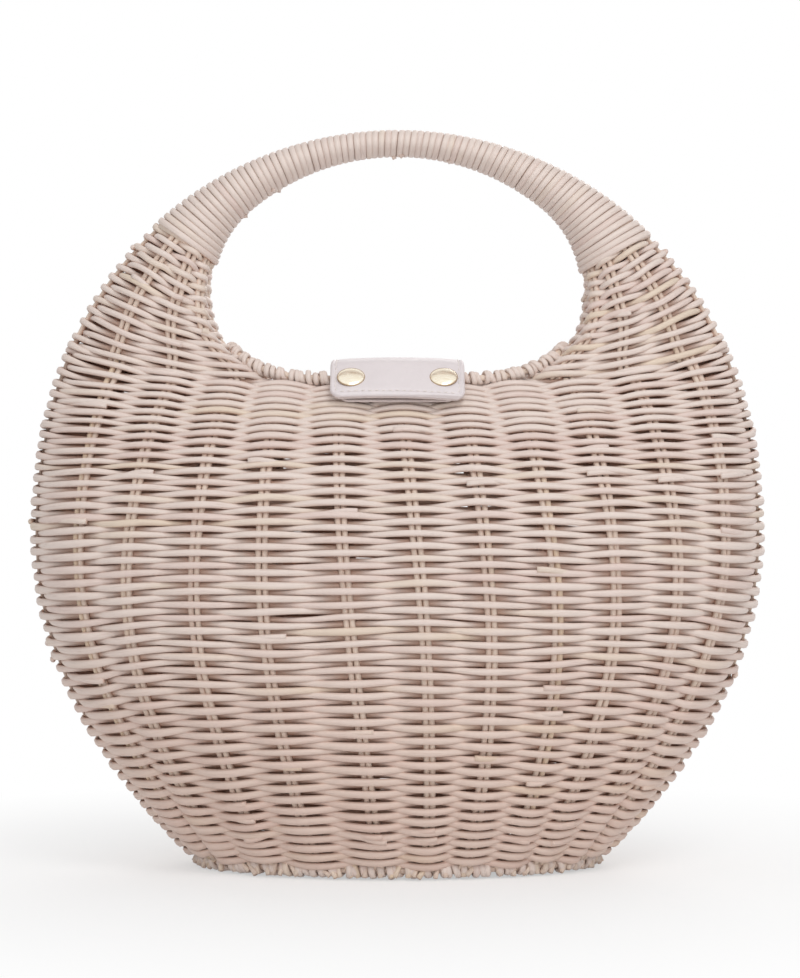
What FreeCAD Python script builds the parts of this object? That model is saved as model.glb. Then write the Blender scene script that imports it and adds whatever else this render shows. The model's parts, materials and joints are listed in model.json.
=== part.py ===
import FreeCAD, Part
import math
import os

from FreeCAD import Vector

# Round rattan handbag, millimetres: X to the right, front towards -Y, Z up, standing on Z = 0.

# Outline seen from the front
outline_radius = 157.6
outline_centre_height = 162.1
belly_swell = 2.7
belly_width_height = 144.5
base_half_width = 87.5
side_fullness = 2.1

# Depth seen from the side
belly_half_depth = 78.0
belly_depth_height = 93.5
base_half_depth = 50.0
mouth_half_depth = 26.0
shoulder_fullness = 2.6
mouth_squareness = 3.2
squaring_power = 3.0
oval_power = 2.0

# Wall and mouth
wall_top_height = 209.5
wall_thickness = 3.0
weave_relief = 1.6
mouth_corner = 55.0
rim_width = 4.8
rim_height = 5.0
nose_squareness = 5.0

# Foot
border_height = 7.0
border_width = 8.0
border_flare = 2.0
panel_thickness = 3.5
panel_lift = 2.0

# Handle
grip_height = 11.8
handle_spread_angle = 50.0
handle_start_angle = 32.0
horn_half_depth = 23.5
crown_half_depth = 11.0
handle_taper = 1.6
lap_cane = 2.8
lap_turns = 18
lap_end_angle = 1.5

# Stakes
stake_cane = 2.6
rib_cane = 4.0
stake_pairs_per_side = 11
stakes_outer_fraction = 0.88

# Leather closure
strap_width = 57.0
strap_corner = 5.0
strap_outer_thickness = 1.8
strap_lining_thickness = 1.0
strap_crown_angle = 10.0
strap_bend_radius = 9.0
strap_leaf_length = 19.0
strap_bend_setback = 2.0
strap_open_gap = 0.4
tail_leaf_length = 24.0
tail_lean_angle = 9.0
patch_width = 50.0
patch_length = 15.0
patch_start = 1.2
patch_thickness = 1.2

# Studs and rivets
stud_spacing = 39.2
stud_from_bend = 8.0
stud_diameter = 12.0
stud_dome_height = 3.0
stud_shank = 3.2
socket_diameter = 9.0
socket_height = 1.2
post_base_diameter = 8.0
post_base_height = 0.7
post_nub_diameter = 4.0
post_nub_height = 0.9
rivet_from_bend = 18.0
rivet_head = 8.0
rivet_head_height = 1.8
rivet_shank = 3.0
washer_thickness = 1.0
dome_edge_share = 0.3
dome_rise_share = 0.75
dome_shoulder_share = 0.75
dome_flat_share = 0.35

# Fits
seat_gap = 0.3
stake_gap = 0.8
bore_gap = 0.3

# Facets and measuring steps
level_step = 0.5
depth_step = 0.05
turn_step = 1e-4
straight_tolerance = 1e-4
level_share = 0.5
lap_gap_samples = 24
wall_rings = 9
weave_bands = 12
wall_sides = 32
horn_rings = 5
handle_rings = 13
handle_sides = 16
stake_sides = 4
lap_sides = 4
stud_sides = 16


# The bag's form

def outline_half_width(height):
    widest = outline_radius + belly_swell
    if height < belly_width_height:
        drop = (belly_width_height - height) / belly_width_height
        return widest - (widest - base_half_width) * drop ** side_fullness
    rise = (height - belly_width_height) / (wall_top_height - belly_width_height)
    return widest - (widest - outer_radius(0.0)) * rise ** 2


def wall_half_depth(height):
    if height < belly_depth_height:
        drop = (belly_depth_height - height) / belly_depth_height
        return belly_half_depth - (belly_half_depth - base_half_depth) * drop ** 2
    rise = (height - belly_depth_height) / (wall_top_height - belly_depth_height)
    return belly_half_depth - (belly_half_depth - mouth_half_depth) * rise ** shoulder_fullness


def lean(half_size, height):
    # how much longer a level cut through the wall is than the wall is thick
    rate = (half_size(height) - half_size(height - level_step)) / level_step
    return math.hypot(1.0, rate)


def wall_power(height):
    rise = max(height, 0.0) / wall_top_height
    return oval_power + (mouth_squareness - oval_power) * rise ** squaring_power


def outer_radius(angle):
    drop = wall_top_height - outline_centre_height
    reach = outline_radius ** 2 - (drop * math.cos(angle)) ** 2
    return math.sqrt(reach) - drop * math.sin(angle)


def handle_inner_radius():
    return outer_radius(math.pi / 2) - grip_height


def inner_radius(angle):
    short = max(0.0, 1.0 - angle / math.radians(handle_spread_angle))
    return handle_inner_radius() - (handle_inner_radius() - mouth_corner) * short ** 2


def fan_half_depth(angle):
    fall = max(0.0, 1.0 - angle / (math.pi / 2))
    return crown_half_depth + (horn_half_depth - crown_half_depth) * fall ** handle_taper


def nose_power(angle):
    fall = max(0.0, 1.0 - angle / math.radians(handle_start_angle))
    return oval_power + (nose_squareness - oval_power) * fall


def folded(angle):
    return min(angle, math.pi - angle)


def signed_power(value, power):
    return math.copysign(abs(value) ** power, value)


# Sections of the wall and of the horns and handle

def facet_ring(points):
    return Part.makePolygon(points + [points[0]])


def facet_skin(rings):
    # flat three-sided facets between each ring of points and the next
    faces = []
    for low, high in zip(rings, rings[1:]):
        for number, point in enumerate(low):
            after = (number + 1) % len(low)
            faces.append(Part.Face(facet_ring([point, low[after], high[after]])))
            faces.append(Part.Face(facet_ring([point, high[after], high[number]])))
    return faces


def end_face(rings):
    return Part.makeFace([facet_ring(ring) for ring in rings], "Part::FaceMakerBullseye")


def facet_solid(rings):
    ends = [end_face([rings[0]]), end_face([rings[-1]])]
    return Part.makeSolid(Part.makeShell(facet_skin(rings) + ends))


def facet_tube(outer, inner):
    ends = [end_face([outer[0], inner[0]]), end_face([outer[-1], inner[-1]])]
    return Part.makeSolid(Part.makeShell(facet_skin(outer) + facet_skin(inner) + ends))


def turn_angles(sides):
    step = 2.0 * math.pi / sides
    return [step * number for number in range(sides)]


def wall_section(height, inset):
    half_width = outline_half_width(height) - inset * lean(outline_half_width, height)
    half_depth = wall_half_depth(height) - inset * lean(wall_half_depth, height)
    power = 2.0 / wall_power(height)
    points = []
    for turn in turn_angles(wall_sides):
        across = half_width * signed_power(math.cos(turn), power)
        deep = half_depth * signed_power(math.sin(turn), power)
        points.append(Vector(across, deep, height))
    return points


def fan_point(angle, radius, depth):
    height = wall_top_height + radius * math.sin(angle)
    return Vector(radius * math.cos(angle), depth, height)


def fan_section(angle, inset):
    outer = outer_radius(folded(angle)) - inset
    inner = inner_radius(folded(angle)) + inset
    half_depth = fan_half_depth(folded(angle)) - inset
    middle = (outer + inner) / 2.0
    half_length = (outer - inner) / 2.0
    points = []
    for turn in turn_angles(handle_sides):
        power = oval_power if math.cos(turn) >= 0 else nose_power(folded(angle))
        along = half_length * signed_power(math.cos(turn), 2.0 / power)
        deep = half_depth * signed_power(math.sin(turn), 2.0 / power)
        points.append(fan_point(angle, middle + along, deep))
    return points


def spread(first, last, count):
    return [first + (last - first) * number / (count - 1) for number in range(count)]


def oval(half_width, half_depth, height):
    points = []
    for turn in turn_angles(wall_sides):
        points.append(Vector(half_width * math.cos(turn), half_depth * math.sin(turn), height))
    return points


def oval_prism(half_width, half_depth, low, high):
    face = Part.Face(facet_ring(oval(half_width, half_depth, low)))
    return face.extrude(Vector(0, 0, high - low))


# Basket

def wall_levels():
    return spread(border_height, wall_top_height, wall_rings)


def weave_shares():
    # shares of the half width at the stakes and midway between them, from one side to the other
    stakes = [-1.0] + stake_fractions() + [1.0]
    shares = []
    for here, after in zip(stakes, stakes[1:]):
        shares += [here, (here + after) / 2]
    return shares


def woven_section(height, band, relief):
    # the weave passes outside one stake and inside the next, the other way round in the next band
    points = []
    for side in (-1, 1):
        for number, share in enumerate(weave_shares()):
            place = number / 2 + band
            recess = relief * (1 + math.cos(math.pi * place)) / 2
            points.append(stake_point(-side * share, side, height, recess, 0.0))
    return points


def make_body_weave():
    bands = spread(border_height, wall_top_height, weave_bands + 1)
    outer = [woven_section(bands[0], 0, 0.0)]
    for band, height in enumerate(bands[1:-1], 1):
        outer.append(woven_section(height, band, weave_relief))
    outer.append(woven_section(bands[-1], weave_bands, 0.0))
    inner = [wall_section(height, wall_thickness) for height in wall_levels()]
    shell = facet_tube(outer, inner)
    for across in rivet_places():
        shell = shell.cut(rivet_hole(across))
    return shell


def horn_angles():
    return spread(0.0, math.radians(handle_start_angle), horn_rings)


def make_horn_weave(mirrored):
    outer = [fan_section(angle, 0.0) for angle in horn_angles()]
    inner = [fan_section(angle, wall_thickness) for angle in horn_angles()]
    horn = facet_tube(outer, inner)
    if mirrored:
        return horn.mirror(Vector(0, 0, 0), Vector(1, 0, 0))
    return horn


def make_base_border():
    middle = border_height / 2
    top_width = outline_half_width(border_height)
    top_depth = wall_half_depth(border_height)
    sections = [
        oval(base_half_width + border_flare, base_half_depth + border_flare, 0.0),
        oval((base_half_width + top_width) / 2 + border_flare,
             (base_half_depth + top_depth) / 2 + border_flare, middle),
        oval(top_width, top_depth, border_height),
    ]
    hole = [oval(border_inner_width(), border_inner_depth(), section[0].z) for section in sections]
    return facet_tube(sections, hole)


def border_inner_width():
    return base_half_width + border_flare - border_width


def border_inner_depth():
    return base_half_depth + border_flare - border_width


def make_base_panel():
    return oval_prism(border_inner_width() - seat_gap, border_inner_depth() - seat_gap,
                      panel_lift, panel_lift + panel_thickness)


def make_rim_cane(side):
    radius = rim_width / 2
    middle = side * (mouth_half_depth - wall_thickness * lean(wall_half_depth, wall_top_height) / 2)
    low = wall_top_height
    shoulder = wall_top_height + rim_height - radius
    end = mouth_corner - seat_gap
    corners = [Vector(-end, middle - radius, shoulder), Vector(-end, middle - radius, low),
               Vector(-end, middle + radius, low), Vector(-end, middle + radius, shoulder)]
    crown = Part.Arc(corners[3], Vector(-end, middle, shoulder + radius), corners[0])
    profile = Part.makePolygon(corners).Edges + [crown.toShape()]
    face = Part.Face(Part.Wire(profile))
    return face.extrude(Vector(2 * end, 0, 0))


# Handle

def make_handle_core():
    # the bundle sits one ring deep in each horn, whose facets it follows there
    inset = max(lap_cane, wall_thickness) + 2 * seat_gap
    seat = horn_angles()[-2]
    start = horn_angles()[-1]
    angles = [seat] + spread(start, math.pi - start, handle_rings) + [math.pi - seat]
    return facet_solid([fan_section(angle, inset) for angle in angles])


def lap_point(turns):
    first = math.radians(handle_start_angle + lap_end_angle)
    angle = first + (math.pi - 2 * first) * turns / lap_turns
    inset = lap_cane / 2
    outer = outer_radius(folded(angle)) - inset
    inner = inner_radius(folded(angle)) + inset
    deep = fan_half_depth(folded(angle)) - inset
    turn = 2 * math.pi * turns
    radius = (outer + inner) / 2 + (outer - inner) / 2 * math.cos(turn)
    return fan_point(angle, radius, deep * math.sin(turn))


def lap_heading(turns):
    heading = lap_point(turns + turn_step) - lap_point(turns - turn_step)
    return heading.normalize()


def arc_from(start, heading, end):
    chord = end - start
    normal = chord - heading * chord.dot(heading)
    radius = chord.Length ** 2 / (2 * normal.Length)
    centre = start + normal.normalize() * radius
    outward = ((start + end) * 0.5 - centre).normalize()
    return Part.Arc(start, centre + outward * radius, end).toShape()


def two_arcs(start, start_heading, end, end_heading):
    chord = end - start
    both = start_heading + end_heading
    a = 2.0 * (1.0 - start_heading.dot(end_heading))
    b = 2.0 * chord.dot(both)
    c = -chord.dot(chord)
    reach = (-b + math.sqrt(b * b - 4 * a * c)) / (2 * a)
    first_corner = start + start_heading * reach
    last_corner = end - end_heading * reach
    joint = (first_corner + last_corner) * 0.5
    joint_heading = (last_corner - first_corner).normalize()
    return [arc_from(start, start_heading, joint), arc_from(joint, joint_heading, end)]


def make_handle_lapping():
    quarters = 4 * lap_turns
    edges = []
    for quarter in range(quarters):
        turns = quarter / 4
        after = (quarter + 1) / 4
        edges += two_arcs(lap_point(turns), lap_heading(turns), lap_point(after), lap_heading(after))
    first = lap_point(0) - lap_heading(0) * lap_cane
    last = lap_point(lap_turns) + lap_heading(lap_turns) * lap_cane
    edges.insert(0, Part.makeLine(first, lap_point(0)))
    edges.append(Part.makeLine(lap_point(lap_turns), last))
    profile = facet_ring(rod_section(first, lap_heading(0), lap_cane, lap_sides))
    return Part.Wire(edges).makePipeShell([profile], True, False)


def least_lap_gap():
    per_turn = lap_gap_samples
    points = [lap_point(number / per_turn) for number in range(lap_turns * per_turn + 1)]
    gap = math.inf
    for number, point in enumerate(points):
        for other in points[number + per_turn // 2:]:
            gap = min(gap, point.distanceToPoint(other) - lap_cane)
    return gap


# Stakes

def stake_point(fraction, side, height, inset, shift):
    half_width = outline_half_width(height) - inset * lean(outline_half_width, height)
    half_depth = wall_half_depth(height) - inset * lean(wall_half_depth, height)
    power = wall_power(height)
    share = fraction + shift / half_width
    deep = half_depth * (1.0 - abs(share) ** power) ** (1.0 / power)
    return Vector(share * half_width, side * deep, height)


def stake_fractions():
    return spread(-stakes_outer_fraction, stakes_outer_fraction, stake_pairs_per_side)


def rod_section(centre, heading, cane, sides):
    across = heading.cross(Vector(0, 1, 0))
    if across.Length < level_share:
        across = heading.cross(Vector(1, 0, 0))
    across.normalize()
    up = heading.cross(across).normalize()
    points = []
    for turn in turn_angles(sides):
        points.append(centre + across * (cane / 2 * math.cos(turn)) + up * (cane / 2 * math.sin(turn)))
    return points


def rod_along(points, cane):
    sections = []
    for number, point in enumerate(points):
        before = points[max(number - 1, 0)]
        after = points[min(number + 1, len(points) - 1)]
        sections.append(rod_section(point, (after - before).normalize(), cane, stake_sides))
    return facet_solid(sections)


def make_stake_pair(fraction, side):
    inset = wall_thickness + stake_gap + stake_cane / 2
    heights = wall_levels()
    heights[0] += stake_cane
    heights[-1] -= stake_cane
    rods = []
    for shift in (-stake_cane / 2 - seat_gap / 2, stake_cane / 2 + seat_gap / 2):
        points = [stake_point(fraction, side, height, inset, shift) for height in heights]
        rods.append(rod_along(points, stake_cane))
    return Part.makeCompound(rods)


def make_side_rib(side):
    inset = wall_thickness + stake_gap + rib_cane / 2
    heights = wall_levels()
    heights[0] += rib_cane
    points = []
    for height in heights:
        across = outline_half_width(height) - inset * lean(outline_half_width, height)
        points.append(Vector(across, 0, height))
    angles = horn_angles()[1:-1]
    angles[-1] -= rib_cane / handle_inner_radius()
    for angle in angles:
        points.append(fan_point(angle, outer_radius(angle) - inset, 0))
    rod = rod_along(points, rib_cane)
    if side < 0:
        return rod.mirror(Vector(0, 0, 0), Vector(1, 0, 0))
    return rod


# Leather closure, drawn as a profile in the YZ plane: the front wall slopes away below the mouth

def wall_slope():
    step = wall_thickness
    run = wall_half_depth(wall_top_height - step) - wall_half_depth(wall_top_height)
    return math.atan2(step, run)


def slope_down(angle):
    return Vector(0, -math.cos(angle), -math.sin(angle))


def slope_out(angle):
    return Vector(0, -math.sin(angle), math.cos(angle))


def strap_thickness():
    return strap_outer_thickness + strap_lining_thickness


def strap_half_span():
    return mouth_half_depth - strap_bend_setback


def stack_under_strap():
    return seat_gap + patch_thickness + post_base_height + seat_gap + socket_height


def bend_run(slope):
    return strap_bend_radius * (math.sin(slope) - math.sin(math.radians(strap_crown_angle)))


def bend_fall(slope):
    return strap_bend_radius * (math.cos(math.radians(strap_crown_angle)) - math.cos(slope))


def strap_lift():
    # room between the wall and the strap: the stud stack, or more where the rim cane stands higher
    slope = wall_slope()
    level = rim_height + seat_gap + strap_thickness() - bend_fall(slope)
    level += (strap_half_span() + bend_run(slope) - mouth_half_depth) * math.tan(slope)
    return max(stack_under_strap(), level * math.cos(slope) - strap_thickness())


def wall_edge():
    return Vector(0, -mouth_half_depth, wall_top_height)


def strap_shoulder():
    # top of the strap where its crown ends, set so that the leaf lies over the stud stack
    slope = wall_slope()
    leaf = wall_edge() + slope_out(slope) * (strap_lift() + strap_thickness())
    back = strap_half_span() + bend_run(slope)
    level = leaf.z + (-back - leaf.y) * math.tan(slope) + bend_fall(slope)
    return Vector(0, -strap_half_span(), level)


def bend_end(slope):
    # top of the strap where the bend over the rim ends and the flat leaf begins
    shoulder = strap_shoulder()
    return Vector(0, shoulder.y - bend_run(slope), shoulder.z - bend_fall(slope))


def bend_middle(slope, depth):
    crown = math.radians(strap_crown_angle)
    shoulder = strap_shoulder()
    centre = shoulder - slope_out(crown) * strap_bend_radius
    half = (slope + crown) / 2
    return centre + slope_out(half) * (strap_bend_radius - depth)


def layer_start(depth):
    return strap_shoulder() - slope_out(math.radians(strap_crown_angle)) * depth


def layer_edges(slope, leaf_length, depth):
    turn_end = bend_end(slope) - slope_out(slope) * depth
    tip = turn_end + slope_down(slope) * leaf_length
    bend = Part.Arc(layer_start(depth), bend_middle(slope, depth), turn_end).toShape()
    return tip, [bend, Part.makeLine(turn_end, tip)]


def crown_arc(depth):
    crown = math.radians(strap_crown_angle)
    shoulder = strap_shoulder()
    radius = strap_half_span() / math.sin(crown)
    centre = Vector(0, 0, shoulder.z - radius * math.cos(crown))
    start = layer_start(depth)
    end = Vector(0, -start.y, start.z)
    return end, Part.Arc(end, centre + Vector(0, 0, radius - depth), start).toShape()


def strap_layer(top, bottom):
    # one leather layer of the moving strap: crown over the mouth, bend and front leaf
    slope = wall_slope()
    top_tip, top_edges = layer_edges(slope, strap_leaf_length, top)
    low_tip, low_edges = layer_edges(slope, strap_leaf_length, bottom)
    top_back, top_arc = crown_arc(top)
    low_back, low_arc = crown_arc(bottom)
    edges = [top_arc] + top_edges + [Part.makeLine(top_tip, low_tip)] + low_edges + [low_arc]
    edges.append(Part.makeLine(low_back, top_back))
    return widened(edges, strap_width)


def widened(edges, width):
    face = Part.Face(Part.Wire(Part.__sortEdges__(edges)))
    face.translate(Vector(-width / 2, 0, 0))
    return face.extrude(Vector(width, 0, 0))


def tail_slope():
    return wall_slope() + math.radians(tail_lean_angle)


def make_strap_tail():
    slope = tail_slope()
    top_tip, top_edges = layer_edges(slope, tail_leaf_length, 0.0)
    low_tip, low_edges = layer_edges(slope, tail_leaf_length, strap_thickness())
    edges = top_edges + [Part.makeLine(top_tip, low_tip)] + low_edges
    edges.append(Part.makeLine(layer_start(strap_thickness()), layer_start(0.0)))
    tail = widened(edges, strap_width).mirror(Vector(0, 0, 0), Vector(0, 1, 0))
    tail.translate(Vector(0, strap_open_gap, 0))
    tail = rounded_tips(tail, tail_out(), strap_corner)
    for across in rivet_places():
        tail = tail.cut(rivet_hole(across))
    return tail


def rounded_tips(leather, out, radius):
    # the corner edges are the straight ones that run through the leather's thickness at the tip
    corners = [edge for edge in leather.Edges if runs_along(edge, out)]
    return leather.makeFillet(radius, corners)


def runs_along(edge, direction):
    ends = [vertex.Point for vertex in edge.Vertexes]
    return len(ends) == 2 and (ends[1] - ends[0]).cross(direction).Length < straight_tolerance


# Studs and rivets, turned about the normals of the leaves

def stud_places():
    return (-stud_spacing / 2, stud_spacing / 2)


def rivet_places():
    # midway between the middle stake pair and its neighbours
    stake_step = 2 * stakes_outer_fraction / (stake_pairs_per_side - 1)
    place = stake_step * outline_half_width(tail_base(0.0, strap_thickness()).z) / 2
    return (-place, place)


def stud_base(across, depth):
    slope = wall_slope()
    point = bend_end(slope) + slope_down(slope) * stud_from_bend - slope_out(slope) * depth
    return Vector(across, point.y, point.z)


def tail_base(across, depth):
    slope = tail_slope()
    point = bend_end(slope) + slope_down(slope) * rivet_from_bend - slope_out(slope) * depth
    return Vector(across, -point.y + strap_open_gap, point.z)


def tail_out():
    out = slope_out(tail_slope())
    return Vector(0, -out.y, out.z)


def rivet_hole(across):
    return set_at(bore(rivet_shank, tail_leaf_length), tail_base(across, 0.0), tail_out())


def round_ring(radius, height):
    turns = turn_angles(stud_sides)
    return [Vector(radius * math.cos(turn), radius * math.sin(turn), height) for turn in turns]


def turned(profile):
    # a round piece from its half profile of (radius, height) pairs, on the Z axis
    return facet_solid([round_ring(radius, height) for radius, height in profile])


def washer(inner, outer, low, high):
    outside = [round_ring(outer, low), round_ring(outer, high)]
    inside = [round_ring(inner, low), round_ring(inner, high)]
    return facet_tube(outside, inside)


def domed(diameter, height, shank, length):
    radius = diameter / 2
    shoulder = (radius * dome_shoulder_share, height * dome_rise_share)
    return turned([(shank / 2, -length), (shank / 2, 0), (radius, 0), (radius, height * dome_edge_share),
                   shoulder, (radius * dome_flat_share, height)])


def set_at(piece, base, out):
    placed = piece.copy()
    placed.Placement = FreeCAD.Placement(base, FreeCAD.Rotation(Vector(0, 0, 1), out))
    return placed


def stud_piece(piece):
    out = slope_out(wall_slope())
    return Part.makeCompound([set_at(piece, stud_base(across, 0.0), out) for across in stud_places()])


def tail_piece(piece):
    out = tail_out()
    return Part.makeCompound([set_at(piece, tail_base(across, 0.0), out) for across in rivet_places()])


def bore(diameter, reach):
    return Part.makeCylinder(diameter / 2 + bore_gap, 2 * reach, Vector(0, 0, -reach))


def make_press_stud_caps():
    shank = strap_thickness() + socket_height - post_nub_height - seat_gap
    return stud_piece(domed(stud_diameter, stud_dome_height, stud_shank, shank))


def make_press_stud_sockets():
    top = -strap_thickness()
    inner = post_nub_diameter / 2 + bore_gap
    return stud_piece(washer(inner, socket_diameter / 2, top - socket_height, top))


def make_press_stud_posts():
    top = -strap_thickness() - socket_height - seat_gap
    nub = top + seat_gap + post_nub_height
    base = post_base_diameter / 2
    neck = post_nub_diameter / 2
    foot = top - (strap_lift() - stack_under_strap()) - post_base_height
    return stud_piece(turned([(base, foot), (base, top), (neck, top), (neck, nub)]))


def make_front_patch():
    slope = wall_slope()
    start = wall_edge() + slope_down(slope) * patch_start + slope_out(slope) * seat_gap
    end = start + slope_down(slope) * patch_length
    lift = slope_out(slope) * patch_thickness
    outline = Part.makePolygon([start, end, end + lift, start + lift, start])
    return rounded_tips(widened(outline.Edges, patch_width), slope_out(slope), strap_corner)


def make_strap_layer(top, bottom):
    out = slope_out(wall_slope())
    leather = rounded_tips(strap_layer(top, bottom), out, strap_corner)
    for across in stud_places():
        leather = leather.cut(set_at(bore(stud_shank, stud_diameter), stud_base(across, 0.0), out))
    return leather


def make_strap_rivets():
    return tail_piece(domed(rivet_head, rivet_head_height, rivet_shank, rivet_length()))


def inner_facet_depth(height):
    # half depth of the wall's inner face, straight between the wall's rings
    for low, high in zip(wall_levels(), wall_levels()[1:]):
        if height <= high:
            break
    ends = []
    for level in (low, high):
        ends.append(wall_half_depth(level) - wall_thickness * lean(wall_half_depth, level))
    return ends[0] + (ends[1] - ends[0]) * (height - low) / (high - low)


def wall_depth_under_tail(offset):
    # depth below the tail's top, along its normal, where the wall's inner face lies
    down = slope_down(tail_slope())
    shift = Vector(0, -down.y, down.z) * offset
    near = 0.0
    far = tail_leaf_length
    while far - near > depth_step:
        middle = (near + far) / 2
        point = tail_base(0.0, middle) + shift
        if point.y > inner_facet_depth(point.z):
            near = middle
        else:
            far = middle
    return far


def washer_depth():
    edges = (-rivet_head / 2, rivet_head / 2)
    return max(wall_depth_under_tail(offset) for offset in edges) + seat_gap


def rivet_length():
    return washer_depth() + washer_thickness


def make_rivet_washers():
    inner = rivet_shank / 2 + bore_gap
    return tail_piece(washer(inner, rivet_head / 2, -rivet_length(), -washer_depth()))


# The named pieces

def make_pieces():
    pieces = {
        "base_border": make_base_border(),
        "base_panel": make_base_panel(),
        "body_weave": make_body_weave(),
        "right_horn_weave": make_horn_weave(False),
        "left_horn_weave": make_horn_weave(True),
        "right_side_rib": make_side_rib(1),
        "left_side_rib": make_side_rib(-1),
        "handle_core": make_handle_core(),
        "handle_lapping": make_handle_lapping(),
        "front_rim_cane": make_rim_cane(-1),
        "back_rim_cane": make_rim_cane(1),
        "front_patch": make_front_patch(),
        "strap_tail": make_strap_tail(),
        "strap_rivets": make_strap_rivets(),
        "rivet_washers": make_rivet_washers(),
        "press_stud_posts": make_press_stud_posts(),
        "closure_strap_outer": make_strap_layer(0.0, strap_outer_thickness),
        "closure_strap_lining": make_strap_layer(strap_outer_thickness, strap_thickness()),
        "press_stud_caps": make_press_stud_caps(),
        "press_stud_sockets": make_press_stud_sockets(),
    }
    for name, side in (("front", -1), ("back", 1)):
        for number, fraction in enumerate(stake_fractions(), 1):
            pieces[f"{name}_stake_pair_{number:02d}"] = make_stake_pair(fraction, side)
    return pieces


os.makedirs("parts", exist_ok=True)
for name, shape in make_pieces().items():
    shape.exportStep(f"parts/{name}.step")
print(f"least gap between turns of the lapping: {least_lap_gap():.2f} mm")
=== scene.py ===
import json
import math

import bmesh
import bpy
import numpy as np
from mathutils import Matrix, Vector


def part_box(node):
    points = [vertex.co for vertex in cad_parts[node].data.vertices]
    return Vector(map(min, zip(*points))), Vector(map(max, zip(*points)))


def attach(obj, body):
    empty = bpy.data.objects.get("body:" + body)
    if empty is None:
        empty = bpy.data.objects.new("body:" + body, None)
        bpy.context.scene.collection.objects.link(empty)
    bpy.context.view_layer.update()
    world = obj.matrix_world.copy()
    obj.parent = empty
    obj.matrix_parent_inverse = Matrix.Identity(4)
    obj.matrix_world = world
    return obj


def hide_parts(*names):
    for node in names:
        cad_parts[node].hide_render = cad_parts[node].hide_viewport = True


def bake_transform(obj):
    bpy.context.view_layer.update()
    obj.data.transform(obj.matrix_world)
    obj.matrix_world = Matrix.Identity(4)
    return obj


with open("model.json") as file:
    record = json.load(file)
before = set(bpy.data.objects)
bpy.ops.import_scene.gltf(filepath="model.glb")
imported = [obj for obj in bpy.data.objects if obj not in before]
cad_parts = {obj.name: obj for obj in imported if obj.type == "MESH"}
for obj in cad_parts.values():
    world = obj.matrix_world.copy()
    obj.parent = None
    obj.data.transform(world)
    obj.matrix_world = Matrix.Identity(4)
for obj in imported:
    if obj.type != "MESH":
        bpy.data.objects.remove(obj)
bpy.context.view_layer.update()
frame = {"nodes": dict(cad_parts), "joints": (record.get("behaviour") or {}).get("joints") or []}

mm = 0.001                         # sizes below are in millimetres
rng = np.random.default_rng(4233)  # one seed, so each run gives the same canes


# the bag's form, the same rules as the solids follow

bodyLow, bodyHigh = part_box("body_weave")
bag = {
    "outlineRadius": 157.6,          # the round outline seen from the front, handle included
    "outlineCentre": 162.1,
    "bellyHalfWidth": bodyHigh.x / mm,
    "bellyWidthHeight": 144.5,
    "baseHalfWidth": 87.5,
    "sideFullness": 2.1,
    "bellyHalfDepth": bodyHigh.y / mm,
    "bellyDepthHeight": 93.5,
    "baseHalfDepth": 50.0,
    "mouthHalfDepth": 26.0,
    "shoulderFullness": 2.6,
    "mouthSquareness": 3.2, "squarenessPower": 3,   # an ellipse at the foot grows squarer upwards
    "footHeight": bodyLow.z / mm,
    "mouthHeight": bodyHigh.z / mm,
    "holeRadius": 98.4,              # the hole under the handle, about the mouth's middle
    "holeSpread": 43.4,
    "holeSpreadAngle": 50.0,
    "hornHalfDepth": 23.5,
    "crownHalfDepth": 11.0,
    "handleTaper": 1.6,
}
pivotHeight = bag["mouthHeight"]


def outlineHalfWidth(z):
    # below the belly a power curve, above it a parabola, and past the mouth the outline circle
    low = np.clip((bag["bellyWidthHeight"] - z) / bag["bellyWidthHeight"], 0, 1)
    high = np.clip((z - bag["bellyWidthHeight"]) / (bag["mouthHeight"] - bag["bellyWidthHeight"]), 0, 1)
    shoulder = math.sqrt(bag["outlineRadius"] ** 2 - (bag["mouthHeight"] - bag["outlineCentre"]) ** 2)
    body = bag["bellyHalfWidth"] - (bag["bellyHalfWidth"] - bag["baseHalfWidth"]) * low ** bag["sideFullness"]
    body = body - (bag["bellyHalfWidth"] - shoulder) * high ** 2
    circle = np.sqrt(np.maximum(bag["outlineRadius"] ** 2 - (z - bag["outlineCentre"]) ** 2, 0))
    return np.where(z > bag["mouthHeight"], circle, body)


def centreHalfDepth(z):
    # a parabola under the deepest level and a fuller power curve up to the mouth
    low = np.clip((bag["bellyDepthHeight"] - z) / bag["bellyDepthHeight"], 0, 1)
    high = np.clip((z - bag["bellyDepthHeight"]) / (bag["mouthHeight"] - bag["bellyDepthHeight"]), 0, 1)
    depth = bag["bellyHalfDepth"] - (bag["bellyHalfDepth"] - bag["baseHalfDepth"]) * low ** 2
    return depth - (bag["bellyHalfDepth"] - bag["mouthHalfDepth"]) * high ** bag["shoulderFullness"]


def outerRadius(angle):
    # distance from the mouth's middle to the outline circle along a ray at this angle
    drop = pivotHeight - bag["outlineCentre"]
    return np.sqrt(bag["outlineRadius"] ** 2 - (drop * np.cos(angle)) ** 2) - drop * np.sin(angle)


def holeRadius(angle):
    opening = np.clip(1 - angle / math.radians(bag["holeSpreadAngle"]), 0, 1)
    return bag["holeRadius"] - bag["holeSpread"] * opening ** 2


def handleHalfDepth(angle):
    rise = np.clip(1 - angle / (math.pi / 2), 0, 1)
    return bag["crownHalfDepth"] + (bag["hornHalfDepth"] - bag["crownHalfDepth"]) * rise ** bag["handleTaper"]


# mesh helpers

def unit(vectors):
    return vectors / np.maximum(np.linalg.norm(vectors, axis=-1, keepdims=True), 1e-12)


def smoothStep(x):
    x = np.clip(x, 0, 1)
    return x * x * (3 - 2 * x)


def rampUp(x, span):
    # 0 before the span's start and 1 past its length
    start, length = span
    return smoothStep((x - start) / length)


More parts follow.
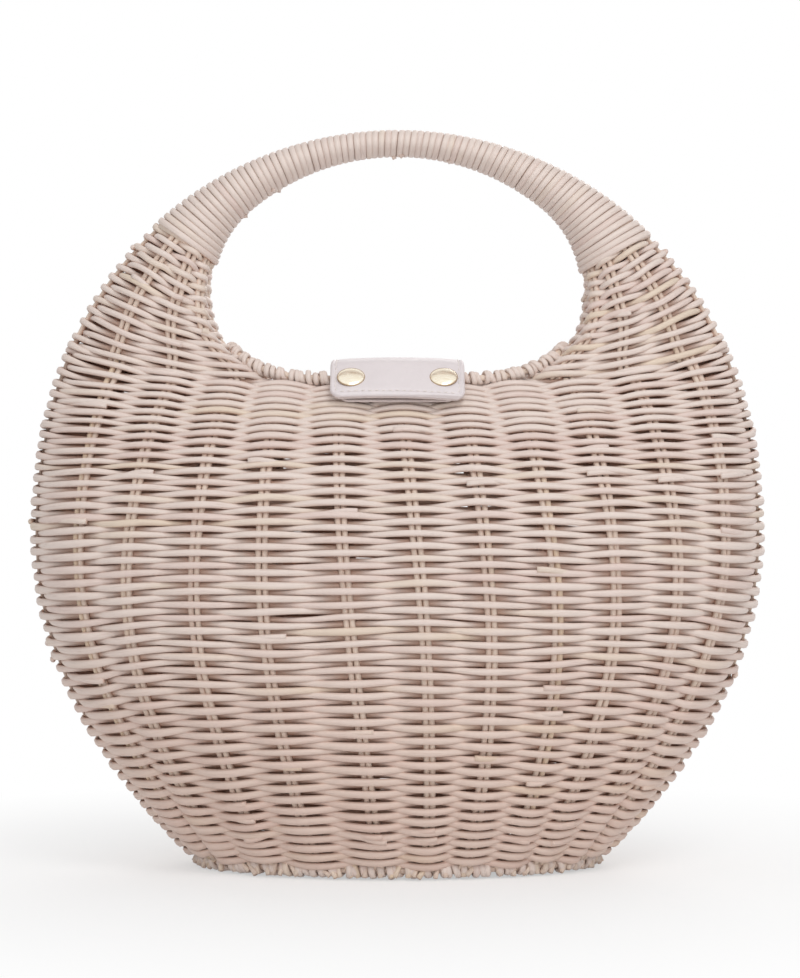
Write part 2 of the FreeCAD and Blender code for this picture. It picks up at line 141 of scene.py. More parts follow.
def waves(count, along, terms=4, slowest=1):
    # smooth noise about zero for each of count canes: a few sines of random phase, along is 0 to 1
    phase = rng.uniform(0, 2 * np.pi, (count, terms, 1))
    size = rng.normal(0, 1, (count, terms, 1)) / np.sqrt(terms)
    turns = slowest + np.arange(terms).reshape(1, terms, 1)
    return (size * np.sin(2 * np.pi * turns * along.reshape(1, 1, -1) + phase)).sum(1)


def sway(count, noise, reach=6):
    # neighbouring canes keep together: a running mean over the canes
    spread = np.exp(-(np.subtract.outer(np.arange(count), np.arange(count)) / reach) ** 2)
    return (spread / np.sqrt((spread ** 2).sum(1, keepdims=True))) @ noise


def addMesh(name, points, quads, material, body, replaced=(), slotName=None, uv=None, tone=None,
            face=None):
    mesh = bpy.data.meshes.new(name)
    points = np.asarray(points, np.float32).reshape(-1, 3) * mm
    quads = np.asarray(quads, np.int32).reshape(-1, 4)
    mesh.vertices.add(len(points))
    mesh.vertices.foreach_set("co", points.ravel())
    mesh.loops.add(quads.size)
    mesh.loops.foreach_set("vertex_index", quads.ravel())
    mesh.polygons.add(len(quads))
    mesh.polygons.foreach_set("loop_start", np.arange(0, quads.size, 4, dtype=np.int32))
    mesh.polygons.foreach_set("use_smooth", np.ones(len(quads), bool))
    if uv is not None:
        layer = mesh.uv_layers.new(name="caneUv")
        layer.data.foreach_set("uv", np.asarray(uv, np.float32).ravel())
    for layerName, values in (("caneTone", tone), ("caneWashAndShade", face)):
        if values is not None:
            layer = mesh.attributes.new(layerName, "FLOAT", "POINT")
            layer.data.foreach_set("value", np.asarray(values, np.float32).ravel())
    mesh.update(calc_edges=True)
    mesh.validate()
    mesh.materials.append(material)
    piece = bpy.data.objects.new(name, mesh)
    bpy.context.scene.collection.objects.link(piece)
    if body:
        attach(piece, body)
    if replaced:
        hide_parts(*replaced)
    return piece


def tubeGrid(count, length, sides, closed):
    # quads of count tubes, each a grid of length rings by sides, with square caps on open ends; corner holds
    # the ring and side of each quad's corners, not wrapped round, for the map
    steps = length if closed else length - 1
    i, j = np.meshgrid(np.arange(steps), np.arange(sides), indexing="ij")
    corner = np.stack([np.stack([i + di, j + dj], -1) for di, dj in ((0, 0), (1, 0), (1, 1), (0, 1))], -2)
    corner = corner.reshape(-1, 4, 2)
    quads = corner[..., 0] % length * sides + corner[..., 1] % sides
    if not closed:
        k = np.arange(sides // 2 - 1)
        cap = np.stack([k, k + 1, sides - 2 - k, sides - 1 - k], -1)
        last = (length - 1) * sides
        quads = np.concatenate([quads, cap, cap[:, ::-1] + last])
        corner = np.concatenate([corner, np.zeros((len(cap), 4, 2), int),
                                 np.full((len(cap), 4, 2), (length - 1, 0))])
    offsets = np.arange(count).reshape(-1, 1, 1) * length * sides
    return (quads[None] + offsets).reshape(-1, 4), corner


caneMap = {
    "scale": 0.1,                            # map units for each millimetre along a cane
    "startSpread": 4000, "turnSpread": 40,   # each cane begins elsewhere on the map
    "washAndShadeEdge": 0.55, "washAndShadeSoft": 0.9,       # how far round a cane the wash reaches before the painted shade of its inner side, and how softly it ends
}


def addCanes(name, path, outward, across, thick, wide, material, body, closed=False, sides=8, fullness=1.0,
             tone=None, cover=1.0, **options):
    # canes: an ellipse of half sizes thick and wide carried along each path, (canes, points, 3);
    # a fullness over 1 squares the ellipse, and the map's seam lies on the inner side
    count, length, _ = path.shape
    angle = np.pi + 2 * np.pi * np.arange(sides) / sides
    c, s = np.cos(angle), np.sin(angle)
    c, s = np.sign(c) * np.abs(c) ** (1 / fullness), np.sign(s) * np.abs(s) ** (1 / fullness)
    thick = np.broadcast_to(thick, (count, length))[..., None, None]
    wide = np.broadcast_to(wide, (count, length))[..., None, None]
    ring = outward[:, :, None, :] * c[:, None] * thick + across[:, :, None, :] * s[:, None] * wide
    points = path[:, :, None, :] + ring
    quads, corner = tubeGrid(count, length, sides, closed)
    steps = np.linalg.norm(np.diff(path, axis=1, append=path[:, :1]), axis=-1)
    run = np.concatenate([np.zeros((count, 1)), np.cumsum(steps, 1)], 1)        # length along, mm
    run = run + rng.uniform(0, caneMap["startSpread"], (count, 1))
    along = run[:, corner[..., 0]]
    turn = np.broadcast_to(corner[..., 1] / sides, along.shape)
    uv = np.stack([along * caneMap["scale"], turn + rng.uniform(0, caneMap["turnSpread"], (count, 1, 1))], -1)
    if tone is None:
        tone = rng.uniform(0, 1, (count, 1))
    tone = np.broadcast_to(np.asarray(tone).reshape(count, -1), (count, length))[..., None]
    # the wash covers the outer side of a cane and misses its inner side; that darker inner side and the
    # cane's edges also stand in as painted shade between the canes
    cover = np.broadcast_to(cover, (count, length))[..., None]
    face = smoothStep((np.cos(angle) + caneMap["washAndShadeEdge"]) / caneMap["washAndShadeSoft"]) * cover
    return addMesh(name, points, quads, material, body, uv=uv, face=face,
                   tone=np.broadcast_to(tone, (count, length, sides)), **options)


# materials

def newMaterial(name):
    material = bpy.data.materials.new(name)
    material.use_nodes = True
    tree = material.node_tree
    return material, tree, tree.nodes["Principled BSDF"]


def addNode(tree, kind, inputs=(), **settings):
    node = tree.nodes.new(kind)
    for key, value in settings.items():
        setattr(node, key, value)
    for socket, value in dict(inputs).items():
        if isinstance(value, bpy.types.NodeSocket):
            tree.links.new(value, node.inputs[socket])
        else:
            node.inputs[socket].default_value = value
    return node


def setRamp(node, stops):
    stops = list(stops)
    ramp = node.color_ramp
    while len(ramp.elements) < len(stops):
        ramp.elements.new(0.5)
    for element, (place, colour) in zip(ramp.elements, stops):
        element.position = place
        element.color = (*colour, 1)


def mixColours(tree, share, first, second):
    return addNode(tree, "ShaderNodeMix", {0: share, 6: first, 7: second}, data_type="RGBA").outputs[2]


def setRoughness(tree, shader, marks, ends, span=(0.3, 0.7)):
    # roughness goes from one end to the other while the marks cross the span
    rough = addNode(tree, "ShaderNodeMapRange", {"Value": marks, "From Min": span[0], "From Max": span[1],
                                                 "To Min": ends[0], "To Max": ends[1]})
    tree.links.new(rough.outputs[0], shader.inputs["Roughness"])


def setBump(tree, shader, height, look):
    bump = addNode(tree, "ShaderNodeBump", {"Height": height, "Strength": look["bump"],
                                            "Distance": look["bumpHeight"]})
    tree.links.new(bump.outputs[0], shader.inputs["Normal"])


caneLook = {
    "pink": (0.75, 0.605, 0.55),
    "pale": (0.79, 0.675, 0.615),
    "honey": (0.765, 0.635, 0.515),
    "stain": (0.47, 0.32, 0.25),
    "rawAndPaintedShade": (0.65, 0.43, 0.33),                     # unwashed cane on the inner sides, also the painted shade in the gaps between canes
    "fibreStretch": (0.55, 9.0, 1), "fibreScale": 1.6, "fibreDetail": 5.0, "fibreRoughness": 0.62,
    "patchStretch": (0.16, 0.6, 1), "patchDetail": 2.0, "patchShift": 0.9,   # long blotches shift the tone
    "streaks": (0.52, 0.80), "streakMost": 0.42,   # the upper part of the fibre noise shows as stain
    "roughness": (0.46, 0.70), "bump": 0.30, "bumpHeight": 0.0004,
}


def makeCane(name, look):
    # fibre streaks run along each cane by its own map, and each cane has its own shade by its tone
    material, tree, shader = newMaterial(name)
    uvMap = addNode(tree, "ShaderNodeUVMap", uv_map="caneUv").outputs[0]
    stretch = addNode(tree, "ShaderNodeMapping", {"Vector": uvMap, "Scale": look["fibreStretch"]})
    fibre = addNode(tree, "ShaderNodeTexNoise", {
        "Vector": stretch.outputs[0], "Scale": look["fibreScale"], "Detail": look["fibreDetail"],
        "Roughness": look["fibreRoughness"]}).outputs[0]
    longPatch = addNode(tree, "ShaderNodeMapping", {"Vector": uvMap, "Scale": look["patchStretch"]})
    patch = addNode(tree, "ShaderNodeTexNoise", {
        "Vector": longPatch.outputs[0], "Scale": 1.0, "Detail": look["patchDetail"]})
    shift = addNode(tree, "ShaderNodeMath", {
        0: patch.outputs[0], 1: look["patchShift"], 2: -look["patchShift"] / 2}, operation="MULTIPLY_ADD")
    toneIn = addNode(tree, "ShaderNodeAttribute", attribute_name="caneTone")
    mixTone = addNode(tree, "ShaderNodeMath", {0: toneIn.outputs["Fac"], 1: shift.outputs[0]},
                      operation="ADD", use_clamp=True)
    shade = addNode(tree, "ShaderNodeValToRGB", {"Fac": mixTone.outputs[0]})
    setRamp(shade, [(0.0, look["pink"]), (0.45, look["pale"]), (0.75, look["pale"]), (1.0, look["honey"])])
    streak = addNode(tree, "ShaderNodeMapRange", {
        "Value": fibre, "From Min": look["streaks"][0], "From Max": look["streaks"][1],
        "To Min": 0.0, "To Max": look["streakMost"]})
    colour = mixColours(tree, streak.outputs[0], shade.outputs[0], (*look["stain"], 1))
    # painted shade: the inner-side colour is mixed in where a cane faces inwards, at its edges between rows
    # and inside the stakes
    faceIn = addNode(tree, "ShaderNodeAttribute", attribute_name="caneWashAndShade")
    washedAndShaded = mixColours(tree, faceIn.outputs["Fac"], (*look["rawAndPaintedShade"], 1), colour)
    tree.links.new(washedAndShaded, shader.inputs["Base Color"])
    setRoughness(tree, shader, fibre, look["roughness"])
    setBump(tree, shader, fibre, look)
    return material


leatherLook = {
    "pale": (0.81, 0.745, 0.753), "shade": (0.77, 0.705, 0.715),
    "cloudScale": 60.0, "cloudDetail": 4.0, "cloudSpan": (0.30, 0.62),
    "grainScale": 900.0, "fineScale": 2400.0, "fineDetail": 3.0, "fineShare": 0.5,
    "specular": 0.3, "roughness": (0.55, 0.70), "bump": 0.16, "bumpHeight": 0.0005,
}


def makeLeather(name, look):
    # a fine pebble grain: small cells for the pebbles and noise for cloudy dye
    material, tree, shader = newMaterial(name)
    shader.inputs["Specular IOR Level"].default_value = look["specular"]
    place = addNode(tree, "ShaderNodeTexCoord").outputs["Object"]
    cells = addNode(tree, "ShaderNodeTexVoronoi", {"Vector": place, "Scale": look["grainScale"]},
                    feature="SMOOTH_F1").outputs[0]
    cloud, fine = (addNode(tree, "ShaderNodeTexNoise", {
        "Vector": place, "Scale": look[kind + "Scale"], "Detail": look[kind + "Detail"]}).outputs[0]
        for kind in ("cloud", "fine"))
    shade = addNode(tree, "ShaderNodeValToRGB", {"Fac": cloud})
    setRamp(shade, zip(look["cloudSpan"], (look["shade"], look["pale"])))
    tree.links.new(shade.outputs[0], shader.inputs["Base Color"])
    setRoughness(tree, shader, cells, look["roughness"], (0, 1))
    height = addNode(tree, "ShaderNodeMath", {0: fine, 1: look["fineShare"], 2: cells},
                     operation="MULTIPLY_ADD")
    setBump(tree, shader, height.outputs[0], look)
    return material


goldLook = {
    "colour": (0.95, 0.88, 0.74), "worn": (0.88, 0.78, 0.61), "wornSpan": (0.35, 0.6),
    "wipeStretch": (300, 2400, 2400), "wipeDetail": 3.0, "roughness": (0.16, 0.30),
}


def makeGold(name, look):
    # polished plating with faint wiping marks in its gloss
    material, tree, shader = newMaterial(name)
    shader.inputs["Metallic"].default_value = 1.0
    place = addNode(tree, "ShaderNodeTexCoord")
    wipe = addNode(tree, "ShaderNodeMapping", {
        "Vector": place.outputs["Object"], "Scale": look["wipeStretch"]})
    marks = addNode(tree, "ShaderNodeTexNoise", {
        "Vector": wipe.outputs[0], "Scale": 1.0, "Detail": look["wipeDetail"]}).outputs[0]
    shade = addNode(tree, "ShaderNodeValToRGB", {"Fac": marks})
    setRamp(shade, zip(look["wornSpan"], (look["worn"], look["colour"])))
    tree.links.new(shade.outputs[0], shader.inputs["Base Color"])
    setRoughness(tree, shader, marks, look["roughness"])
    return material


weaverCane = makeCane("weaver_cane", caneLook)
stakeCane = makeCane("stake_cane", {
    **caneLook, "pink": (0.75, 0.60, 0.51), "pale": (0.785, 0.65, 0.55), "honey": (0.76, 0.61, 0.46)})
# its inner-side colour is the painted shade in the lines between turns
lappingCane = makeCane("lapping_cane", {**caneLook, "bump": 0.22, "rawAndPaintedShade": (0.69, 0.545, 0.47)})
strapLeather = makeLeather("strap_leather", leatherLook)
liningLeather = makeLeather("lining_leather", {
    **leatherLook, "pale": (0.72, 0.63, 0.61), "shade": (0.64, 0.55, 0.53), "grainScale": 1500.0,
    "roughness": (0.7, 0.85)})
goldMetal = makeGold("gold_metal", goldLook)
# painted reflection: the dark brown of the stud lips stands in for the darker surroundings that a polished
# rim reflects
goldDarkReflection = makeGold("gold_painted_dark_reflection", {
    **goldLook, "colour": (0.52, 0.39, 0.26), "worn": (0.40, 0.28, 0.18), "roughness": (0.35, 0.50)})
# its inner-side colour is painted shade on the underside of each stitch
threadCotton = makeCane("thread_cotton", {
    **caneLook, "pink": (0.80, 0.73, 0.71), "pale": (0.86, 0.80, 0.77), "honey": (0.84, 0.77, 0.72),
    "stain": (0.70, 0.62, 0.58), "rawAndPaintedShade": (0.66, 0.58, 0.55)})
print("materials made")


# the woven wall: full rows round the body

weave = {
    "rows": 91,
    "mouthPitch": 0.66, "mouthPitchAt": (0.72, 0.28),   # rows lie closer at the mouth, from this level on,
    "footPitch": 0.78, "footPitchAt": 0.2,              # and at the foot, up to this level
    "footDrop": 0.012,         # the first row lies this share below the wall's edge, over the foot
    "perStake": 14,            # samples from one stake to the next
    "halfThick": 1.36, "halfWide": 1.60, "fullness": 1.1,
    "pinch": 0.15,             # rows squeeze each other midway between stakes
    "swing": 2.3,              # how far a row passes outside or inside the stakes
    "sideCalm": 0.12, "sideCalmPower": 10,   # the swing is less where the wall turns at the sides
    "inset": 3.75,             # stakes lie this far inside the outline
    # how far a row lies lower at the sides than in the middle, by its height in the middle
    "rowHeights": (7, 40, 70, 95, 136, 169, 185, 196, 203, 209.5),
    "sideDrop": (0, 6, 9, 7.5, 5, 2.5, 0, -4, -9.5, -19),
    "sideReach": 3.0,          # power by which that grows towards the sides
    "wander": 0.20, "jitter": 0.08,          # in row spacings, shared by neighbours and each row's own
    "calmRows": 5, "calmLeast": 0.15,        # the rows next to both edges lie straighter
    "swingVary": 0.08, "sizeVary": 0.05, "sizeDrift": 0.03,
    "toneSpread": (2.2, 2.6), "toneDrift": 0.16,
    "insideWashAndShade": 0.2,         # what the wash covers of a row inside a stake; the rest there is painted shade in the recess
    "backShift": 0.5,          # the back half climbs half a row
    "backRise": 0.10, "backRiseAt": (163.5, 24.0),           # and its rows spread by this round the shoulder
    "backWide": (0.10, 0.34), "backWideAt": (172.0, 24.0),   # its canes are wider, most round this height
    "lowWide": 0.14, "lowWideAt": (85.0, 60.0),              # canes are wider below this height
    "lowPaintedShade": 0.40, "lowPaintedShadeAt": (125.0, 95.0),             # and are painted darker and browner below this one, painted shade towards the foot
    "sideWide": 0.16, "sideWideAt": (0.6, 0.3),              # they are wider at the sides too
    # under the horns thinner in front and wider behind, by height and by share of the half width
    "cornerThin": 0.13, "cornerBack": 1.6, "cornerAt": (135.0, 45.0), "cornerReach": (0.3, 0.3),
    # share of the half width at which each front pair stands, left to right, at two heights
    "lowPlaces": (-0.875, -0.765, -0.57, -0.365, -0.112, 0.098, 0.281, 0.47, 0.622, 0.786, 0.884),
    "highPlaces": (-0.837, -0.672, -0.499, -0.343, -0.16, 0.019, 0.194, 0.357, 0.527, 0.705, 0.877),
    "lowAt": 66.0, "highAt": 191.0, "leanReach": (-0.5, 1.15),   # and how far past these they keep leaning
    "pairSpread": 1.33, "stakeHalf": 1.31, "stakeFrom": -0.016, "stakeDrift": 0.15,
    "pieces": ("lower_weave_rows", "middle_weave_rows", "upper_weave_rows"),
}
cutEnd = {
    "count": 64, "lowest": 5, "highest": 8,                  # rows left free at the foot and at the mouth
    "past": (0.12, 0.30), "length": 0.7,                     # in stakes
    "aside": (0.35, 0.75),                                   # in row spacings
    "sunk": 1.3, "climb": (1.4, 2.3), "climbPace": 1.2,      # it starts inside its row and ends proud of it
    "thick": 0.92, "wide": 0.8,                              # against a whole row
}
stakeCount = 2 * (len(weave["lowPlaces"]) + 1)


def roundAngles(places):
    # angles of the stakes all the way round, from the shares of the front ones
    front = np.arccos(-np.array(places))
    return np.concatenate([[0], front, [np.pi], 2 * np.pi - front[::-1], [2 * np.pi]])


lowAngles, highAngles = roundAngles(weave["lowPlaces"]), roundAngles(weave["highPlaces"])


def byLength(low, high, width, samples=800):
    # heights at equal lengths along the curve of width over height, as a function of 0 to 1
    z = np.linspace(low, high, samples)
    run = np.concatenate([[0], np.cumsum(np.hypot(np.diff(z), np.diff(width(z))))])
    return lambda level: (np.interp(level, run / run[-1], z) + np.maximum(level - 1, 0) * (high - low)
                          + np.minimum(level, 0) * run[-1])


centreLevel = byLength(bag["footHeight"], bag["mouthHeight"], centreHalfDepth)


def wallPoint(level, stake):
    # the wall at a level from 0 at the foot to 1 at the mouth, and a place counted in stakes round it
    zCentre = centreLevel(level)
    zSide = zCentre - np.interp(zCentre, weave["rowHeights"], weave["sideDrop"])
    at, places = np.mod(stake, stakeCount), np.arange(stakeCount + 1)
    mix = np.clip((zCentre - weave["lowAt"]) / (weave["highAt"] - weave["lowAt"]), *weave["leanReach"])
    angle = np.interp(at, places, lowAngles) * (1 - mix) + np.interp(at, places, highAngles) * mix
    share = -np.cos(angle)
    power = 2 + (bag["mouthSquareness"] - 2) * (zCentre / bag["mouthHeight"]) ** bag["squarenessPower"]
    reach = np.abs(share)
    x = outlineHalfWidth(zSide) * share
    y = -np.sign(np.sin(angle)) * centreHalfDepth(zCentre) * np.maximum(1 - reach ** power, 0) ** (1 / power)
    z = zCentre + (zSide - zCentre) * reach ** weave["sideReach"]
    return np.stack(np.broadcast_arrays(x, y, z), -1)


def surfaceFrame(surface, u, v, step=1e-3):
    # point, outward normal and direction along v, from small steps on the surface
    alongU = unit(surface(u + step, v) - surface(u - step, v))
    alongV = unit(surface(u, v + step) - surface(u, v - step))
    return surface(u, v), unit(np.cross(alongV, alongU)), alongV


def rowLevels(samples=600):
    # the pitch is least at the two edges; the rows passed up to a level are the sum of one over the pitch
    level, foot = np.linspace(-weave["footDrop"], 1, samples), weave["footPitchAt"]
    pitch = (1 - (1 - weave["mouthPitch"]) * rampUp(level, weave["mouthPitchAt"])
             - (1 - weave["footPitch"]) * smoothStep((foot - level) / foot))
    passed = np.cumsum(1 / pitch)
    return np.interp((np.arange(weave["rows"]) + 0.5) / weave["rows"], passed / passed[-1], level)


def lowShare(name, height):
    # a value that grows from nothing at a height to its whole towards the foot
    top, reach = weave[name + "At"]
    return weave[name] * smoothStep((top - height) / reach)


def backShare(turn):
    # 0 in front and 1 behind, soft where the wall turns round the sides
    return smoothStep(0.5 - 2.5 * np.sin(turn))


def washAndShadeCover(side):
    # little of a row is washed inside a stake, where side is -1, and all of it from a quarter of the swing
    # on; the unwashed part is painted shade in the recess
    return weave["insideWashAndShade"] + (1 - weave["insideWashAndShade"]) * smoothStep((side + 1.0) / 0.5)


def weaveRows():
    count = weave["rows"]
    stake = np.arange(stakeCount * weave["perStake"]) / weave["perStake"]
    share, turn = stake / stakeCount, 2 * np.pi * stake / stakeCount
    row = np.arange(count).reshape(-1, 1)
    middle = rowLevels().reshape(-1, 1)
    calm = np.clip(np.minimum(row, count - 1 - row) / weave["calmRows"], weave["calmLeast"], 1)
    drift = (weave["wander"] * sway(count, waves(count, share, 8, 2))
             + weave["jitter"] * waves(count, share, 16, 6)) * calm
    behind = backShare(turn)
    height = centreLevel(middle)
    eye, band = weave["backRiseAt"]
    rise = weave["backRise"] * (height - eye) * np.exp(-((height - eye) / band) ** 2)
    climb = weave["backShift"] + rise / np.gradient(height, axis=0) * np.abs(np.sin(turn))
    level = middle + (drift + climb * behind * calm) * np.gradient(middle, axis=0)
    point, normal, _ = surfaceFrame(wallPoint, level, stake.reshape(1, -1) + np.zeros_like(level))
    high = point[..., 2]
    side = np.cos(np.pi * (stake.reshape(1, -1) + row))                # +1 outside a stake, -1 inside
    reach = np.abs(point[..., 0]) / outlineHalfWidth(high)
    swing = weave["swing"] * (1 + weave["swingVary"] * rng.normal(0, 1, (count, 1)))
    swing = swing * (1 - weave["sideCalm"] * reach ** weave["sideCalmPower"])
    path = point + normal * (swing * side - weave["inset"])[..., None]
    across = unit(np.cross(normal, np.gradient(path, axis=1)))
    size = 1 + weave["sizeVary"] * rng.normal(0, 1, (count, 1))
    size = size + weave["sizeDrift"] * waves(count, share, 5, 3)
    # width: less midway between stakes, more behind, low down and at the sides, less in front under the horns
    shoulder = np.exp(-((high - weave["backWideAt"][0]) / weave["backWideAt"][1]) ** 2)
    least, most = weave["backWide"]
    fuller = 1 + behind * (least + (most - least) * shoulder)
    wide = (1 - weave["pinch"] * np.sin(np.pi * stake) ** 2) * fuller * (1 + lowShare("lowWide", high))
    corner = rampUp(high, weave["cornerAt"])
    thin = weave["cornerThin"] * corner * (1 - (1 + weave["cornerBack"]) * behind)
    wide = wide * (1 + weave["sideWide"] * (1 - corner) * rampUp(reach, weave["sideWideAt"])
                   - thin * rampUp(reach, weave["cornerReach"]))
    # painted shade inside the stakes and towards the foot
    cover = washAndShadeCover(side) * (1 - lowShare("lowPaintedShade", high))
    tone = rng.beta(*weave["toneSpread"], (count, 1)) + weave["toneDrift"] * waves(count, share, 3, 1)
    tone = np.clip(tone, 0, 1)
    for name, rows in zip(weave["pieces"], np.array_split(np.arange(count), len(weave["pieces"]))):
        addCanes(name, path[rows], normal[rows], across[rows], weave["halfThick"] * size[rows],
                 weave["halfWide"] * size[rows] * wide[rows], weaverCane, "basket", closed=True,
                 slotName="woven_rattan", tone=tone[rows], replaced=("body_weave",),
                 fullness=weave["fullness"], cover=cover[rows])
    return level


def weaverEnds(level):
    # cut ends of weavers: each leaves its row between two stakes and stops just past the next, a little proud
    count, samples = cutEnd["count"], stakeCount * weave["perStake"]
    row = rng.integers(cutEnd["lowest"], weave["rows"] - cutEnd["highest"], count)
    stake = rng.integers(0, stakeCount, count)
    stake = stake + (stake + row) % 2                                  # a stake that the row passes outside
    along = np.linspace(0, 1, 12)
    heading = rng.choice([-1.0, 1.0], (count, 1))
    past = rng.uniform(*cutEnd["past"], (count, 1))
    place = stake[:, None] + heading * (past - cutEnd["length"] * (1 - along))
    sample = np.mod(np.rint(place * weave["perStake"]).astype(int), samples)
    spacing = np.gradient(level.mean(1))[row][:, None]
    aside = rng.choice([-1.0, 1.0], (count, 1)) * rng.uniform(*cutEnd["aside"], (count, 1))
    at = level[row[:, None], sample] + spacing * aside * smoothStep(along)
    point, normal, _ = surfaceFrame(wallPoint, at, place)
    side = np.cos(np.pi * (place + row[:, None]))
    climb = rng.uniform(*cutEnd["climb"], (count, 1)) * smoothStep(along * cutEnd["climbPace"])
    path = point + normal * (weave["swing"] * side - weave["inset"] + (climb - cutEnd["sunk"]))[..., None]
    across = unit(np.cross(normal, np.gradient(path, axis=1)))
    # the cut ends take the same painted shade towards the foot
    addCanes("weaver_ends", path, normal, across, weave["halfThick"] * cutEnd["thick"],
             weave["halfWide"] * cutEnd["wide"], weaverCane, "basket", slotName="woven_rattan",
             cover=1 - lowShare("lowPaintedShade", point[..., 2]))


weaverEnds(weaveRows())
print("body rows woven")


# paired stakes up the wall

def addPairs(name, surface, level, count, inset, half, flip=1, drift=(0.0, 0.0), **options):
    # two rods side by side up each stake, inside the surface; flip turns its normal outwards
    places = np.arange(count).reshape(-1, 1) + np.zeros_like(level)
    point, normal, around = surfaceFrame(surface, level + np.zeros_like(places), places)
    normal = normal * flip
    middle = point - normal * inset
    path = np.concatenate([middle + around * (sign * weave["pairSpread"] + shift)
                           for sign, shift in zip((-1, 1), drift)])
    addCanes(name, path, np.tile(normal, (2, 1, 1)), np.tile(around, (2, 1, 1)), half, half, stakeCane,
             "basket", slotName="stake_cane", **options)


def wallStakes():
    level = np.linspace(weave["stakeFrom"], 1.0, 80).reshape(1, -1)
    drift = weave["stakeDrift"] * waves(stakeCount * 2, level[0], 4, 1).reshape(2, stakeCount, -1, 1)
    addPairs("stake_pairs", wallPoint, level, stakeCount, weave["inset"], weave["stakeHalf"], drift=drift,
             replaced=[n for n in frame["nodes"] if "stake_pair" in n or "side_rib" in n])


wallStakes()
print("stakes set")


# woven horns between the mouth and the lapped handle

horn = {
    "rows": 23, "start": -0.085,                # the first row lies on the wall's last one
    "innerFrom": 4.2, "outerFrom": 7.6,         # angles about the mouth's middle where the horn rows start
    "leftTo": 33.6, "rightTo": 31.4,            # and where the lapping takes over
    "rootHalfDepth": 24.2,
    "noseSquareness": 6.0, "edgePower": 1.8,    # powers of the root's two ends, an ellipse at the top
    "bow": 4.7,
    # stakes across the horn at its root and under the lapping, outer edge 1, hole edge -1
    "rootPlaces": (0.54, -0.05, -0.68), "topPlaces": (0.30, -0.42, -0.88),
    "perStake": 12, "inset": 3.4, "swing": 2.0,
    "outerCalm": 0.1, "innerCalm": 0.65, "calmPower": 8,   # the swing is less at the two edges
    "rowWide": 0.84, "backWide": 0.34,          # against the rows of the wall, and more behind
    # the hole's lower corners are fuller, up to this angle
    "noseFill": 7.0, "fillTo": 17.0, "fillOver": 10.0, "fillPower": 1.5,
    "wander": 0.22, "jitter": 0.14, "calmRows": 3, "calmLeast": 0.2, "sizeVary": 0.05,
    "stakeHalf": 1.2, "stakeSpan": (-0.06, 1.08),
    # cut ends: rows left free, then sizes in stakes, in row spacings, in mm and against a whole row
    "ends": 9, "endMargin": 2, "endPast": 0.2, "endLength": 0.6, "endAside": 0.7,
    "endSunk": 1.2, "endClimb": 2.2, "endThick": 0.9, "endWide": 0.75,
}
hornStakes = 2 * (len(horn["rootPlaces"]) + 1)
rootAngles, topAngles = (roundAngles([-p for p in horn[key]]) for key in ("rootPlaces", "topPlaces"))


def hornTurn(level, stake):
    # the angle round the horn of a place counted in stakes; the stakes lean to the hole as they climb
    at, places, mix = np.mod(stake, hornStakes), np.arange(hornStakes + 1), np.clip(level, 0, 1)
    return np.interp(at, places, rootAngles) * (1 - mix) + np.interp(at, places, topAngles) * mix


def hornSurface(side):
    last = horn["leftTo"] if side < 0 else horn["rightTo"]

    def hornPoint(level, stake):
        # each row crosses from the hole's edge to the outline, sagging a little, with a blunt inner edge
        turn = hornTurn(level, stake)
        share = np.cos(turn)
        innerAngle = np.radians(horn["innerFrom"] + (last - horn["innerFrom"]) * level)
        outerAngle = np.radians(horn["outerFrom"] + (last - horn["outerFrom"]) * level)
        fill = np.clip((horn["fillTo"] - np.degrees(innerAngle)) / horn["fillOver"], 0, 1)
        hole = holeRadius(innerAngle) - horn["noseFill"] * fill ** horn["fillPower"]
        inner = hole * np.stack([np.cos(innerAngle), np.sin(innerAngle)])
        outer = outerRadius(outerAngle) * np.stack([np.cos(outerAngle), np.sin(outerAngle)])
        flat = inner + (outer - inner) * (share + 1) / 2
        bow = horn["bow"] * (1 - level) * (1 - share ** 2)
        depth = horn["rootHalfDepth"] + (handleHalfDepth(math.radians(last)) - horn["rootHalfDepth"]) * level
        power = np.where(share > 0, horn["edgePower"], horn["noseSquareness"])
        power = power + (2.0 - power) * np.clip(level, 0, 1)
        y = -np.sign(np.sin(turn)) * depth * np.maximum(1 - np.abs(share) ** power, 0) ** (1 / power)
        return np.stack(np.broadcast_arrays(side * flat[0], y, pivotHeight + flat[1] - bow), -1)
    return hornPoint


